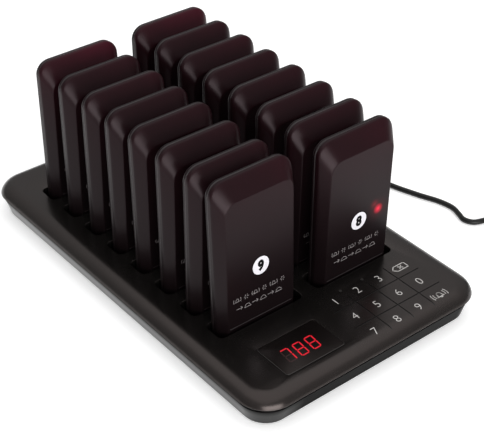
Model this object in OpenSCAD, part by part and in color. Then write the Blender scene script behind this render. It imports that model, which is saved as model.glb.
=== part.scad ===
// Guest pager system: a charging base with a touch keypad and a three-digit
// display, and sixteen pagers that stand in its slots in two columns of eight.
// X is the width, Y the depth with the keypad at -Y, and Z is up. The origin is
// on the floor under the middle of the base. Millimetres.

/* [Base] */
// Width of the base across its rim
base_w = 170; // [168:1:184]
// Depth of the base from the keypad end to the back
base_l = 275; // [272:1:290]
// Height of the flat top above the floor
base_top = 21; // [20.5:0.1:23]
// Corner radius of the rim, seen from above
base_corner_r = 19; // [16:0.5:22]
// Wall of the two base shells
shell_wall = 2.2; // [1.8:0.1:2.4]
// How far the soft shoulder reaches in from the rim
shoulder_w = 10; // [8:0.5:11]
// How far the shoulder drops from the top to the rim
shoulder_drop = 4.6; // [4:0.1:5]
// Height of the plain band under the shoulder
rim_band = 2; // [1.6:0.1:2.4]
// How far the lower shell draws in from the rim at its foot
foot_inset = 4.5; // [4:0.1:6.5]
// Open joint between the two shells
shell_joint = 0.5; // [0.3:0.1:0.7]
// Thickness of the lower shell's floor
floor_t = 1.8; // [1.5:0.1:2]
// Height of the rubber feet
foot_h = 1; // [0.8:0.1:1.2]
// Radius of the rubber feet
foot_r = 6; // [4:0.5:7]

/* [Pagers] */
// Width of a pager
pager_w = 54; // [50:0.5:55]
// Height of a pager
pager_h = 106; // [98:1:112]
// Thickness of a pager
pager_t = 13; // [12.5:0.1:13.4]
// Corner radius of a pager, seen from the front
pager_corner_r = 9; // [7:0.5:10]
// Thickness of the rear case, which shows as a rim behind the cover
case_t = 3.2; // [2.6:0.1:3.4]
// How much smaller the rear case is than the cover at the seam
seam_step = 0.25; // [0.1:0.05:0.4]
// Height of the broad slope along the cover's top edge
slope_top = 10; // [8:0.5:12]
// Width of the slope along the cover's long edges
slope_side = 3.2; // [2:0.2:4]
// Height of the draft at the cover's foot
draft_foot = 17; // [14:0.5:20]
// How far the draft at the foot draws in
draft_depth = 1.5; // [0.5:0.1:2]
// Wall of a pager's cover and case
pager_wall = 1.5; // [1.2:0.1:1.6]

/* [Slots] */
// Distance from one slot to the next in a column
slot_pitch = 24.4; // [23.5:0.1:25]
// Distance of each column from the centre line
column_x = 35.5; // [35:0.1:36.5]
// Distance of the first slot behind the keypad rim
first_slot = 65.3; // [64:0.1:66]
// Clearance at each end of a pager in its slot
slot_end_gap = 3; // [2:0.1:3.2]
// Clearance on each face of a pager in its slot
slot_face_gap = 0.8; // [0.7:0.05:0.9]
// Corner radius of a slot
slot_corner_r = 3; // [1.5:0.1:4]
// Wall of the wells under the slots
well_wall = 1.4; // [1.1:0.1:1.5]
// Floor of the wells
well_floor = 1.2; // [1:0.1:1.4]
// Height of a pager above its well floor
rest_gap = 0.3; // [0.2:0.05:0.5]
// Distance of a charging contact from the pager's middle
contact_x = 15; // [12:0.5:18]

/* [Keypad and display] */
// Distance from key to key across the base
key_pitch_x = 17; // [16:0.1:17]
// Distance from key to key along the base
key_pitch_y = 16.9; // [15.5:0.1:17]
// Middle of the keypad, to the right of the centre line
keypad_x = 31.5; // [31:0.1:32]
// Middle of the keypad, behind the keypad rim
keypad_from_rim = 27.3; // [27:0.1:28]
// Width of the grooves between the keys
groove_w = 0.7; // [0.4:0.1:1]
// Depth of the grooves between the keys
groove_depth = 0.4; // [0.2:0.1:0.8]
// How far the grooves run past the outer crossings
groove_stub = 16.5; // [10:0.1:17]
// Width of the display window
window_w = 42; // [40:0.5:44]
// Depth of the display window
window_l = 27; // [25:0.5:27]
// Thickness of the display window
window_t = 1.4; // [1:0.1:1.6]
// Middle of the window, to the left of the centre line
window_x = 35.2; // [34:0.1:36]
// Ledge that the window is seated on
window_ledge = 1.5; // [1:0.1:2]
// Radius of the two status lights
light_r = 0.9; // [0.6:0.1:1.2]

/* [Boards and fasteners] */
// Thickness of the circuit boards in the base
board_t = 1.4; // [1:0.1:1.6]
// Height of the bosses that carry the lower boards
boss_h = 1.4; // [1.2:0.1:1.6]
// Height of the display module
module_h = 7.5; // [6.5:0.1:8]
// Radius of a case screw's shank
case_screw_r = 1.2; // [1:0.1:1.4]
// Radius of a board screw's shank
board_screw_r = 0.9; // [0.7:0.05:1]

/* [Power lead] */
// Diameter of the lead
cord_d = 3.6; // [3.4:0.1:3.8]
// Distance from turn to turn in the coil
coil_pitch = 4.2; // [4.1:0.05:4.4]
// Radius of the coil's smallest turn
coil_r_min = 14.3; // [13:0.1:15]
// Length of the wall adapter's body
adapter_l = 58; // [50:1:64]
// Width of the wall adapter's body
adapter_w = 40; // [34:1:44]
// Height of the wall adapter's body as it lies
adapter_h = 27; // [22:1:30]
// Length of the adapter's flat pins
blade_l = 17; // [14:0.5:18]
// Distance between the adapter's flat pins
blade_gap = 12.7; // [12:0.1:13]

/* [Hidden] */

$fn = 48;

// Colours
shell_black = [0.07, 0.07, 0.07];
gloss_black = [0.04, 0.04, 0.04];
smoked = [0.20, 0.13, 0.15];
case_black = [0.10, 0.09, 0.09];
board_green = [0.05, 0.30, 0.16];
metal = [0.75, 0.73, 0.68];
gold = [0.85, 0.66, 0.30];

// Small distances that fits are made with
seat = 0.05;       // between pieces that touch inside one casing
cut = 1;           // how far a cutting shape runs past what it cuts

// The slots: eight rows in two columns
rows = 8;
slot_w = pager_w + 2 * slot_end_gap;
slot_t = pager_t + 2 * slot_face_gap;
first_slot_y = -base_l / 2 + first_slot;
last_slot_y = first_slot_y + (rows - 1) * slot_pitch;
function slot_y(row) = first_slot_y + row * slot_pitch;

// Heights in the base, from the floor up
foot_top = foot_h;
floor_top = foot_top + floor_t;
board_z = floor_top + boss_h;
board_top = board_z + board_t;
pin_rise = 0.8;    // room between the charging board and the wells
well_under = board_top + pin_rise;
well_top = well_under + well_floor;
rim_z = base_top - shoulder_drop;
top_edge_z = rim_z - rim_band;
bottom_edge_z = top_edge_z - shell_joint;
ceiling_z = base_top - shell_wall;
module_top = ceiling_z - 0.5;
panel_top = module_top - module_h;
panel_z = panel_top - board_t;

// Pagers 1 to 8 stand in the right column from back to front, and 9 to 16 in
// the left column from front to back. Each leans a little in its slot: the
// angle is in degrees, towards the back.
pager_lean = [0.2, 0.2, 0.5, 0.4, 0.4, 0, -0.7, -0.5,
              2.4, -0.7, -0.3, 0.5, -0.4, -0.9, -0.7, -0.7];
function pager_side(n) = n <= rows ? 1 : -1;
function pager_row(n) = n <= rows ? rows - n : n - rows - 1;

// Inside a pager, measured from the middle of its foot
seam_y = pager_t / 2 - case_t;
cavity_back = pager_t / 2 - pager_wall;
pager_board_t = 1.2;
pager_board_w = 44;
pager_board_h = 82;
pager_board_z = 7;
pager_board_y = 0.6;                               // the board's front face
pager_boss_r = 2;
led_x = 15;
led_z = 50;
led_size = 3;
led_t = 1.2;
led_places = [[led_x, led_z], [-18, 84], [0, 84], [18, 84], [-19, led_z]];

// The keypad and the window
keypad_y = -base_l / 2 + keypad_from_rim;
window_y = keypad_y - 1.3;
digit_pitch = 8.6;
light_y = keypad_y + 1.25 * key_pitch_y;
keypad_columns = 4;
keypad_rows = 3;

// Where the screws and feet are: the case screws go in front of the slots,
// between two rows and behind the last one
case_screw_from_side = 13;
case_screw_from_front = 41.5;
case_screw_places = [for (side = [-1, 1], y = [case_screw_from_front - base_l / 2,
    slot_y(3) + slot_pitch / 2, slot_y(rows - 1) + slot_pitch / 2])
    [side * (base_w / 2 - case_screw_from_side), y]];
foot_from_side = 19;
foot_from_end = 16.5;
foot_places = [for (x = [-1, 1], y = [-1, 1])
    [x * (base_w / 2 - foot_from_side), y * (base_l / 2 - foot_from_end)]];
case_boss_r = 3.6;
board_notch_gap = 0.5;                             // between a board and a case boss
case_boss_top = 8.5;                               // where the two bosses meet
screw_head_r = 2.8;
screw_head_h = 2;
board_boss_r = 2.6;
board_head_r = 2;
board_head_h = 1.2;

// The boards
charging_w = 54;
charging_front_y = first_slot_y - slot_t / 2 - 4.8;
charging_back_y = last_slot_y + slot_t / 2 + 6;
main_x = [-50, 58];
main_y = [-base_l / 2 + 9.5, charging_front_y - 1.8];
panel_x = [-60, 67];
panel_y = [-base_l / 2 + 7, charging_front_y - 1.8];
charging_screw_places = [for (side = [-1, 1], dx = [-20, 20], row = [0, 3, 6])
    [side * column_x + dx, slot_y(row) + slot_pitch / 2]];
main_screw_places = [for (x = [main_x[0] + 4, main_x[1] - 4],
    y = [main_y[0] + 4, main_y[1] - 4]) [x, y]];
panel_screw_places = [for (x = [panel_x[0] + 4, panel_x[1] - 4],
    y = [panel_y[0] + 4, panel_y[1] - 4]) [x, y]];
charging_pin_r = 1.2;
wire_t = 0.7;                                      // thickness of the flat wire links
wire_overlap = 3;                                  // how far a link lies on a board

// Inside the main board's outline: each part's near corner, from the board's
// left front corner, and its size
radio_place = [64, 16];
aerial_r = 1.8;
buzzer_place = [98, 10];

// The power inlet at the back
jack_x = 50;
jack_z = 9.4;
jack_size = [9, 14, 10.4];
jack_back_y = base_l / 2 - 8;
jack_nose_r = 4;
jack_bore_r = 3;
plug_start_y = base_l / 2 - 1.2;                 // where the moulded body starts
plug_body_r = 5.2;
plug_body_l = 18;
relief_l = 20;
relief_r = 3.6;
barrel_r = 2.75;
cord_r = cord_d / 2;
cord_exit_y = plug_start_y + plug_body_l + relief_l;

// The lead's way over the floor, from the plug round the back corner and
// forward beside the base to the coil
cord_points = [
    [jack_x, cord_exit_y, jack_z],
    [50, cord_exit_y + 4, jack_z],
    [51, 185, 7.4],
    [56, 197, 3.6],
    [66, 206, cord_r],
    [80, 209, cord_r],
    [94, 203, cord_r],
    [105, 190, cord_r],
    [113, 170, cord_r],
    [119, 142, cord_r],
    [123, 108, cord_r],
    [126, 70, cord_r],
    [129, 34, cord_r],
    [133, -4, cord_r],
    [140, -28, cord_r],
    [145.5, -42, cord_r],
    [147.5, -53, cord_r],
    [145.5, -61, cord_r],
    [143.5, -67.5, cord_r],
    [146.5, -73.5, cord_r],
    [154, -76.5, cord_r],
    [162, -80, cord_r],
    [168, -82, cord_r],
    [172, -82, cord_r]
];

// The coil: the lead winds in on the floor, climbs and winds out on top
coil_turns = 6;
coil_turn_mid = 3.25;                              // where the spiral reverses
coil_layer = 4.2;                                  // rise from layer to layer
coil_r_start = coil_r_min + coil_pitch * coil_turn_mid;
coil_start = cord_points[len(cord_points) - 1];
coil_lead_in = 4;
coil_centre = [coil_start[0] + coil_lead_in, coil_start[1] - coil_r_start];
coil_rings = 24;
coil_end_r = coil_r_min + coil_pitch * (coil_turns - coil_turn_mid);
adapter_relief_l = 12;
adapter_x = coil_centre[0] + coil_r_start + 21;    // the adapter's near face
adapter_y = coil_centre[1] + coil_end_r;
coil_tail_z = cord_r + coil_layer + 1;
blade_t = 1.6;
blade_w = 6.4;

// ---------------------------------------------------------------- shapes

function unit(v) = v / norm(v);

// Points of a shoulder: a quarter of an ellipse, as [inset, height]
function shoulder(z, reach, rise, steps = 8) =
    [for (i = [0:steps]) let (a = 90 * i / steps)
        [reach * (1 - cos(a)), z + rise * sin(a)]];

// Points on a soft curve from a to b that is drawn towards c
function soft_curve(a, c, b, steps = 5) =
    [for (i = [0:steps]) let (t = i / steps)
        a * (1 - t) * (1 - t) + c * 2 * t * (1 - t) + b * t * t];

// A flat rectangle with round corners, its middle at the origin
module round_rect(w, l, r) {
    square([w - 2 * r, l], center = true);
    square([w, l - 2 * r], center = true);
    for (x = [-1, 1], y = [-1, 1])
        translate([x * (w / 2 - r), y * (l / 2 - r)]) circle(r);
}

// A slab with round corners whose edge follows [inset, height] points
module edged_slab(w, l, r, edge) {
    low = edge[0][1];
    high = edge[len(edge) - 1][1];
    rotate([90, 0, 0]) linear_extrude(l - 2 * r, center = true)
        polygon(concat([for (e = edge) [w / 2 - e[0], e[1]]],
            [for (i = [len(edge) - 1:-1:0]) [edge[i][0] - w / 2, edge[i][1]]]));
    rotate([90, 0, 90]) linear_extrude(w - 2 * r, center = true)
        polygon(concat([for (e = edge) [l / 2 - e[0], e[1]]],
            [for (i = [len(edge) - 1:-1:0]) [edge[i][0] - l / 2, edge[i][1]]]));
    for (quarter = [0:3])
        translate([(quarter == 0 || quarter == 3 ? 1 : -1) * (w / 2 - r),
                   (quarter < 2 ? 1 : -1) * (l / 2 - r), 0])
            rotate([0, 0, 90 * quarter]) rotate_extrude(angle = 90)
                polygon(concat([[0, low]], [for (e = edge) [r - e[0], e[1]]],
                    [[0, high]]));
}

// A box between two corners
module box(low, high) {
    translate(low) cube(high - low);
}

// One ring of a tube round point p, square to direction t
function tube_ring(p, t, r, sides) =
    let (side = unit(cross(t, [0, 0, 1])), up = cross(side, t))
    [for (i = [0:sides - 1]) let (a = 360 * (i + 0.5) / sides)
        p + r * (cos(a) * side + sin(a) * up)];

// A closed tube along a list of points
module tube(path, r, sides) {
    last = len(path) - 1;
    ring_points = [for (i = [0:last])
        let (t = unit(path[min(i + 1, last)] - path[max(i - 1, 0)]))
        each tube_ring(path[i], t, r, sides)];
    walls = [for (i = [0:last - 1], k = [0:sides - 1])
        let (a = i * sides + k, b = i * sides + (k + 1) % sides)
        each [[a, b, b + sides], [a, b + sides, a + sides]]];
    first_cap = [for (k = [1:sides - 2]) [0, k + 1, k]];
    last_cap = [for (k = [1:sides - 2])
        [last * sides, last * sides + k, last * sides + k + 1]];
    polyhedron(ring_points, concat(walls, first_cap, last_cap));
}

// A point on the smooth curve through four neighbouring route points
function on_curve(a, b, c, d, t) =
    0.5 * (2 * b + (c - a) * t + (2 * a - 5 * b + 4 * c - d) * t * t
        + (3 * b - a - 3 * c + d) * t * t * t);

// The smooth route: each span between route points gets some steps
function smooth(points, steps) =
    let (n = len(points) - 1)
    concat([for (i = [0:n - 1], k = [0:steps - 1])
        on_curve(points[max(i - 1, 0)], points[i], points[i + 1],
            points[min(i + 2, n)], k / steps)], [points[n]]);

function path_length(p) =
    len(p) < 2 ? 0 : let (steps = [for (i = [1:len(p) - 1]) norm(p[i] - p[i - 1])])
        steps * [for (s = steps) 1];

// ---------------------------------------------------------------- the base

top_edge = concat([[0.4, top_edge_z], [0, top_edge_z + 0.6]],
    shoulder(rim_z, shoulder_w, shoulder_drop));
top_cavity_edge = concat([[0, top_edge_z - cut]],
    shoulder(rim_z - shell_wall / 2, shoulder_w - shell_wall / 2,
        shoulder_drop - shell_wall / 2));
lower_step = 1.2;                                  // lower shell inside the rim
lower_edge = [[foot_inset + 0.8, foot_top], [foot_inset, foot_top + 0.8],
    [lower_step, bottom_edge_z]];
lower_cavity_edge = [[foot_inset, floor_top], [lower_step, bottom_edge_z + cut]];

module at_slots() {
    for (side = [-1, 1], row = [0:rows - 1])
        translate([side * column_x, slot_y(row), 0]) children();
}

module at_keys() {
    for (i = [0:keypad_columns - 1], j = [0:keypad_rows - 1])
        translate([keypad_x + (i - (keypad_columns - 1) / 2) * key_pitch_x,
                   keypad_y + (j - (keypad_rows - 1) / 2) * key_pitch_y, 0])
            children();
}

module key_grooves() {
    reach_x = key_pitch_x + groove_stub;
    reach_y = key_pitch_y / 2 + groove_stub - 3.6;
    translate([0, 0, base_top - groove_depth]) {
        for (j = [-1, 1])
            translate([keypad_x - reach_x, keypad_y + j * key_pitch_y / 2 - groove_w / 2, 0])
                cube([2 * reach_x, groove_w, groove_depth + cut]);
        for (i = [-1, 0, 1])
            translate([keypad_x + i * key_pitch_x - groove_w / 2, keypad_y - reach_y, 0])
                cube([groove_w, 2 * reach_y - (i < 1 ? 4 : 0), groove_depth + cut]);
    }
}

module top_shell() {
    color(shell_black)
    difference() {
        union() {
            difference() {
                edged_slab(base_w, base_l, base_corner_r, top_edge);
                edged_slab(base_w - 2 * shell_wall, base_l - 2 * shell_wall,
                    base_corner_r - shell_wall, top_cavity_edge);
            }
            at_slots() translate([0, 0, well_under])
                linear_extrude(base_top - shell_wall / 2 - well_under)
                    round_rect(slot_w + 2 * well_wall, slot_t + 2 * well_wall,
                        slot_corner_r + well_wall);
            for (p = case_screw_places) translate([p[0], p[1], case_boss_top])
                cylinder(h = base_top - shell_wall / 2 - case_boss_top, r = case_boss_r);
        }
        at_slots() translate([0, 0, well_top]) linear_extrude(base_top - well_top + cut)
            round_rect(slot_w, slot_t, slot_corner_r);
        at_slots() for (x = [-1, 1]) translate([x * contact_x, 0, well_under - cut])
            cylinder(h = well_floor + 2 * cut, r = charging_pin_r + 0.4);
        translate([-window_x, window_y, 0]) {
            translate([0, 0, base_top - window_t]) linear_extrude(window_t + cut)
                round_rect(window_w, window_l, 3);
            translate([0, 0, ceiling_z - cut]) linear_extrude(shell_wall + 2 * cut)
                round_rect(window_w - 2 * window_ledge, window_l - 2 * window_ledge, 2);
        }
        for (i = [-1, 0]) translate([keypad_x + i * key_pitch_x, light_y, ceiling_z - cut])
            cylinder(h = shell_wall + 2 * cut, r = light_r + seat);
        for (p = case_screw_places) translate([p[0], p[1], case_boss_top - cut])
            cylinder(h = 7.5 + cut, r = case_screw_r + seat);
        key_grooves();
    }
}

module bottom_shell() {
    color(gloss_black)
    difference() {
        union() {
            difference() {
                edged_slab(base_w, base_l, base_corner_r, lower_edge);
                edged_slab(base_w - 2 * shell_wall, base_l - 2 * shell_wall,
                    base_corner_r - shell_wall, lower_cavity_edge);
            }
            for (p = case_screw_places) translate([p[0], p[1], foot_top + floor_t / 2])
                cylinder(h = case_boss_top - foot_top - floor_t / 2, r = case_boss_r);
            for (p = concat(charging_screw_places, main_screw_places))
                translate([p[0], p[1], foot_top + floor_t / 2])
                    cylinder(h = board_z - foot_top - floor_t / 2, r = board_boss_r);
            for (p = panel_screw_places) translate([p[0], p[1], foot_top + floor_t / 2])
                cylinder(h = panel_z - foot_top - floor_t / 2, r = board_boss_r);
            box([jack_x - jack_size[0] / 2, jack_back_y - jack_size[1], foot_top + floor_t / 2],
                [jack_x + jack_size[0] / 2, jack_back_y, board_z]);
        }
        for (p = case_screw_places) translate([p[0], p[1], 0]) {
            cylinder(h = foot_top + screw_head_h + 0.2, r = screw_head_r + 0.3);
            cylinder(h = case_boss_top + cut, r = case_screw_r + 0.3);
        }
        for (p = concat(charging_screw_places, main_screw_places))
            translate([p[0], p[1], floor_top]) cylinder(h = boss_h + cut, r = board_screw_r + seat);
        for (p = panel_screw_places) translate([p[0], p[1], panel_z - 4])
            cylinder(h = 4 + cut, r = board_screw_r + seat);
        translate([jack_x, base_l / 2 + cut, jack_z]) rotate([90, 0, 0])
            cylinder(h = base_l / 2 - jack_back_y + 3 + cut, r = jack_nose_r + 0.3);
    }
}

module display_window() {
    color([0.09, 0.02, 0.03])
    translate([-window_x, window_y, base_top - window_t + seat])
        linear_extrude(window_t - seat) round_rect(window_w - 0.2, window_l - 0.2, 2.9);
}

module display_module() {
    color([0.12, 0.10, 0.10])
    translate([-window_x - 1.3, window_y - 1.1, 0]) difference() {
        box([-15, -9, panel_top], [15, 9, module_top]);
        for (i = [-1, 0, 1], j = [-1, 1]) translate([i * digit_pitch, j * 2.7, module_top - 0.5])
            linear_extrude(cut) square([3.2, 3.2], center = true);
    }
}

// What is cut out of a board round the bosses of the case screws
module case_boss_notches() {
    for (p = case_screw_places) translate([p[0], p[1], 0])
        cylinder(h = base_top, r = case_boss_r + board_notch_gap);
}

module panel_board() {
    color(board_green)
    difference() {
        box([panel_x[0], panel_y[0], panel_z], [panel_x[1], panel_y[1], panel_top]);
        case_boss_notches();
        for (p = panel_screw_places) translate([p[0], p[1], panel_z - cut])
            cylinder(h = board_t + 2 * cut, r = board_screw_r + 0.2);
    }
}

module touch_pads() {
    color([0.15, 0.15, 0.16])
    at_keys() translate([0, 0, panel_top]) cylinder(h = module_top - panel_top, r = 3);
}

module status_lights() {
    color([0.85, 0.85, 0.82])
    for (i = [-1, 0]) translate([keypad_x + i * key_pitch_x, light_y, 0]) {
        translate([0, 0, panel_top]) cylinder(h = ceiling_z - 1 - panel_top, r = 1.6);
        translate([0, 0, ceiling_z - 1.2]) cylinder(h = shell_wall + 1.2, r = light_r);
    }
}

// Puts a part on the main board, its place taken from the board's corner
module on_main(place, sink = 0.1) {
    translate([main_x[0] + place[0], main_y[0] + place[1], board_top - sink]) children();
}

module main_board() {
    color(board_green)
    difference() {
        union() {
            box([main_x[0], main_y[0], board_z], [main_x[1], main_y[1], board_top]);
            // the controller, its regulator, two capacitors and the panel's connector
            on_main([38, 12]) cube([11, 11, 1.5]);
            on_main([16, 12]) cube([10, 9, 2.5]);
            for (x = [12, 20]) on_main([x, 30]) cylinder(h = 3.4, r = 3);
            on_main([58, 6]) cube([22, 5, 3.1]);
        }
        case_boss_notches();
        for (p = main_screw_places) translate([p[0], p[1], board_z - cut])
            cylinder(h = board_t + 2 * cut, r = board_screw_r + 0.2);
    }
}

module radio_module() {
    color([0.62, 0.62, 0.60]) on_main(radio_place, 0) {
        cube([24, 16, 1]);
        translate([3, 3, 0.9]) cube([12, 10, 1.9]);
        // its coil aerial, which stands on a short bracket
        translate([26.5, 0, aerial_r]) rotate([-90, 0, 0]) difference() {
            cylinder(h = 16, r = aerial_r);
            translate([0, 0, -cut]) cylinder(h = 16 + 2 * cut, r = 1.1);
        }
        translate([23, 7, 0]) cube([3, 2, 1]);
    }
}

module base_buzzer() {
    color([0.08, 0.08, 0.08])
    on_main(buzzer_place, 0) difference() {
        cylinder(h = 3.4, r = 5);
        translate([0, 0, 2.6]) cylinder(h = cut, r = 1);
    }
}

module charging_boards() {
    color(board_green)
    difference() {
        for (side = [-1, 1])
            box([side * column_x - charging_w / 2, charging_front_y, board_z],
                [side * column_x + charging_w / 2, charging_back_y, board_top]);
        case_boss_notches();
        for (p = charging_screw_places) translate([p[0], p[1], board_z - cut])
            cylinder(h = board_t + 2 * cut, r = board_screw_r + 0.2);
    }
}

module charging_pins() {
    color(gold)
    at_slots() for (x = [-1, 1]) translate([x * contact_x, 0, board_top]) {
        cylinder(h = well_top - board_top + 0.1, r = charging_pin_r);
        cylinder(h = 0.6, r = charging_pin_r + 0.5);
    }
}

module wire_links() {
    color([0.55, 0.10, 0.08]) {
        for (side = [-1, 1])
            box([side * column_x - 5, main_y[1] - wire_overlap, board_top],
                [side * column_x + 5, charging_front_y + wire_overlap, board_top + wire_t]);
        box([jack_x - 3, charging_back_y - wire_overlap, board_top],
            [jack_x + 3, jack_back_y - jack_size[1], board_top + wire_t]);
    }
}

module board_screw(z) {
    translate([0, 0, z]) cylinder(h = board_head_h, r = board_head_r);
    translate([0, 0, z - board_t - boss_h + 0.2])
        cylinder(h = board_t + boss_h, r = board_screw_r);
}

module board_screws() {
    color(metal) {
        for (p = concat(charging_screw_places, main_screw_places))
            translate([p[0], p[1], 0]) board_screw(board_top);
        for (p = panel_screw_places) translate([p[0], p[1], 0]) board_screw(panel_top);
    }
}

module case_screws() {
    color(metal)
    for (p = case_screw_places) translate([p[0], p[1], foot_top + 0.1]) {
        difference() {
            cylinder(h = screw_head_h, r = screw_head_r);
            for (turn = [0, 90]) rotate([0, 0, turn])
                translate([-1.6, -0.35, -cut]) cube([3.2, 0.7, cut + 1]);
        }
        cylinder(h = 12, r = case_screw_r);
    }
}

module rubber_feet() {
    color([0.13, 0.13, 0.13])
    for (p = foot_places) translate([p[0], p[1], 0]) {
        cylinder(h = foot_h, r = foot_r);
    }
}

// ---------------------------------------------------------------- the power lead

module dc_jack() {
    color([0.10, 0.10, 0.11])
    difference() {
        union() {
            box([jack_x - jack_size[0] / 2, jack_back_y - jack_size[1], board_z],
                [jack_x + jack_size[0] / 2, jack_back_y, board_z + jack_size[2]]);
            translate([jack_x, base_l / 2 - 3.4, jack_z]) rotate([90, 0, 0])
                cylinder(h = base_l / 2 - 3.4 - jack_back_y + cut, r = jack_nose_r);
        }
        translate([jack_x, base_l / 2, jack_z]) rotate([90, 0, 0])
            cylinder(h = base_l / 2 - jack_back_y + 10, r = jack_bore_r);
    }
}

module dc_plug() {
    color([0.06, 0.06, 0.06])
    translate([jack_x, plug_start_y, jack_z]) rotate([-90, 0, 0]) {
        translate([0, 0, -9]) difference() {
            cylinder(h = 10, r = barrel_r);
            translate([0, 0, -cut]) cylinder(h = 9, r = 1.2);
        }
        rotate_extrude() polygon([[0, 0], [plug_body_r, 0], [plug_body_r, plug_body_l - 1],
            [plug_body_r - 1, plug_body_l], [relief_r, plug_body_l],
            [cord_r + 0.5, plug_body_l + relief_l], [0, plug_body_l + relief_l]]);
    }
}

cord_route = smooth(cord_points, 3);

module power_cord() {
    color([0.05, 0.05, 0.05]) tube(cord_route, cord_r, 8);
}

// The coil's middle line: turn t runs clockwise from its start at the back
function coil_radius(t) = coil_r_min + coil_pitch * abs(t - coil_turn_mid);
function coil_height(t) =
    let (u = min(max((t - coil_turn_mid + 0.25) / 0.5, 0), 1))
    cord_r + coil_layer * u * u * (3 - 2 * u);
coil_loops = [for (i = [0:coil_turns * coil_rings])
    let (t = i / coil_rings, a = 90 - 360 * t)
    [coil_centre[0] + coil_radius(t) * cos(a),
     coil_centre[1] + coil_radius(t) * sin(a), coil_height(t)]];
coil_route = concat([coil_start], coil_loops,
    [[coil_centre[0] + 10, adapter_y, cord_r + coil_layer + 0.2],
     [coil_centre[0] + 20, adapter_y, coil_tail_z - 0.3],
     [adapter_x - adapter_relief_l - cord_d - 1, adapter_y, coil_tail_z],
     [adapter_x - adapter_relief_l, adapter_y, coil_tail_z]]);

// The least gap of the coil to itself, between points over half a turn apart
coil_gap = min([for (i = [0:len(coil_route) - 1], j = [0:len(coil_route) - 1])
    if (j > i + coil_rings / 2) norm(coil_route[j] - coil_route[i])]) - cord_d;
echo(coil_gap = coil_gap);
echo(lead_length = path_length(cord_route) + path_length(coil_route));

module power_cord_coil() {
    color([0.05, 0.05, 0.05]) tube(coil_route, cord_r, 6);
}

module power_adapter() {
    color([0.06, 0.06, 0.06]) {
        translate([adapter_x + adapter_l / 2, adapter_y, 0]) {
            linear_extrude(adapter_h - 3) round_rect(adapter_l, adapter_w, 5);
            translate([0, 0, adapter_h - 3])
                linear_extrude(3) round_rect(adapter_l - 3, adapter_w - 3, 4);
        }
        translate([adapter_x - adapter_relief_l, adapter_y, coil_tail_z]) rotate([0, 90, 0])
            rotate_extrude() polygon([[0, 0], [cord_r + 0.5, 0],
                [relief_r + 0.4, adapter_relief_l + 1], [0, adapter_relief_l + 1]]);
    }
}

module adapter_pins() {
    color(metal)
    for (y = [-1, 1])
        translate([adapter_x + adapter_l / 2 - blade_w / 2,
                   adapter_y + y * blade_gap / 2 - blade_t / 2, adapter_h])
            cube([blade_w, blade_t, blade_l]);
}

// ---------------------------------------------------------------- a pager

// A pager's solid form, or the form that lies a distance inside it
module pager_form(inside) {
    half_w = pager_w / 2 - inside;
    half_t = pager_t / 2 - inside;
    top = pager_h - inside;
    slope = soft_curve([seam_y, top], [-half_t + 3.2, top - 2.6], [-half_t, top - slope_top]);
    flank = soft_curve([half_w, seam_y], [half_w - 0.3, -half_t + 3.5],
        [half_w - slope_side, -half_t]);
    intersection() {
        translate([0, pager_t / 2, pager_h / 2]) rotate([90, 0, 0]) linear_extrude(pager_t)
            round_rect(2 * half_w, pager_h - 2 * inside, pager_corner_r - inside);
        rotate([90, 0, 90]) linear_extrude(pager_w, center = true)
            polygon(concat([[half_t, inside], [half_t, top]], slope,
                [[-half_t, draft_foot], [-half_t + draft_depth, inside]]));
        linear_extrude(pager_h)
            polygon(concat([[half_w, half_t]], flank,
                [for (i = [len(flank) - 1:-1:0]) [-flank[i][0], flank[i][1]]],
                [[-half_w, half_t]]));
    }
}

module contact_windows(grow) {
    for (x = [-1, 1])
        box([x * contact_x - 2.5 - grow, -2 - grow, -cut],
            [x * contact_x + 2.5 + grow, pager_board_y, pager_board_z]);
}

module pager_cover() {
    difference() {
        pager_form(0);
        intersection() {
            pager_form(pager_wall);
            box([-pager_w, -pager_t, 0], [pager_w, seam_y + cut, pager_h]);
        }
        box([-pager_w, seam_y, -cut], [pager_w, pager_t, pager_h + cut]);
        contact_windows(0.2);
    }
}

pager_boss_places = [for (x = [-1, 1], z = [pager_board_z + 4, pager_board_z + pager_board_h - 4])
    [x * (pager_board_w / 2 - 4), z]];

module pager_case() {
    difference() {
        intersection() {
            pager_form(seam_step);
            box([-pager_w, seam_y + seat, 0], [pager_w, pager_t, pager_h]);
        }
        translate([0, cavity_back, pager_h / 2]) rotate([90, 0, 0])
            linear_extrude(pager_t)
                round_rect(pager_w - 2 * pager_wall - 2, pager_h - 2 * pager_wall - 2,
                    pager_corner_r - pager_wall);
    }
    for (p = pager_boss_places)
        translate([p[0], cavity_back + pager_wall / 2, p[1]]) rotate([90, 0, 0])
            cylinder(h = cavity_back + pager_wall / 2 - pager_board_y - pager_board_t - seat,
                r = pager_boss_r);
}

module pager_board() {
    translate([-pager_board_w / 2, pager_board_y, pager_board_z])
        cube([pager_board_w, pager_board_t, pager_board_h]);
}

module pager_battery() {
    translate([-16, pager_board_y - seat - 3.8, 14]) cube([24, 3.8, 30]);
}

module pager_motor() {
    translate([14, pager_board_y - seat, 68]) rotate([90, 0, 0]) cylinder(h = 2.7, r = 5);
}

module pager_buzzer() {
    translate([-8, pager_board_y - seat, 66]) rotate([90, 0, 0]) difference() {
        cylinder(h = 3, r = 6);
        translate([0, 0, 2]) cylinder(h = cut + 1, r = 1.2);
    }
}

module pager_lights() {
    for (p = led_places)
        translate([p[0] - led_size / 2, pager_board_y - seat - led_t, p[1] - led_size / 2])
            cube([led_size, led_t, led_size]);
}

module pager_contacts() {
    for (x = [-1, 1])
        box([x * contact_x - 2.5, -2, 0], [x * contact_x + 2.5, pager_board_y - seat, 10]);
}

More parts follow.
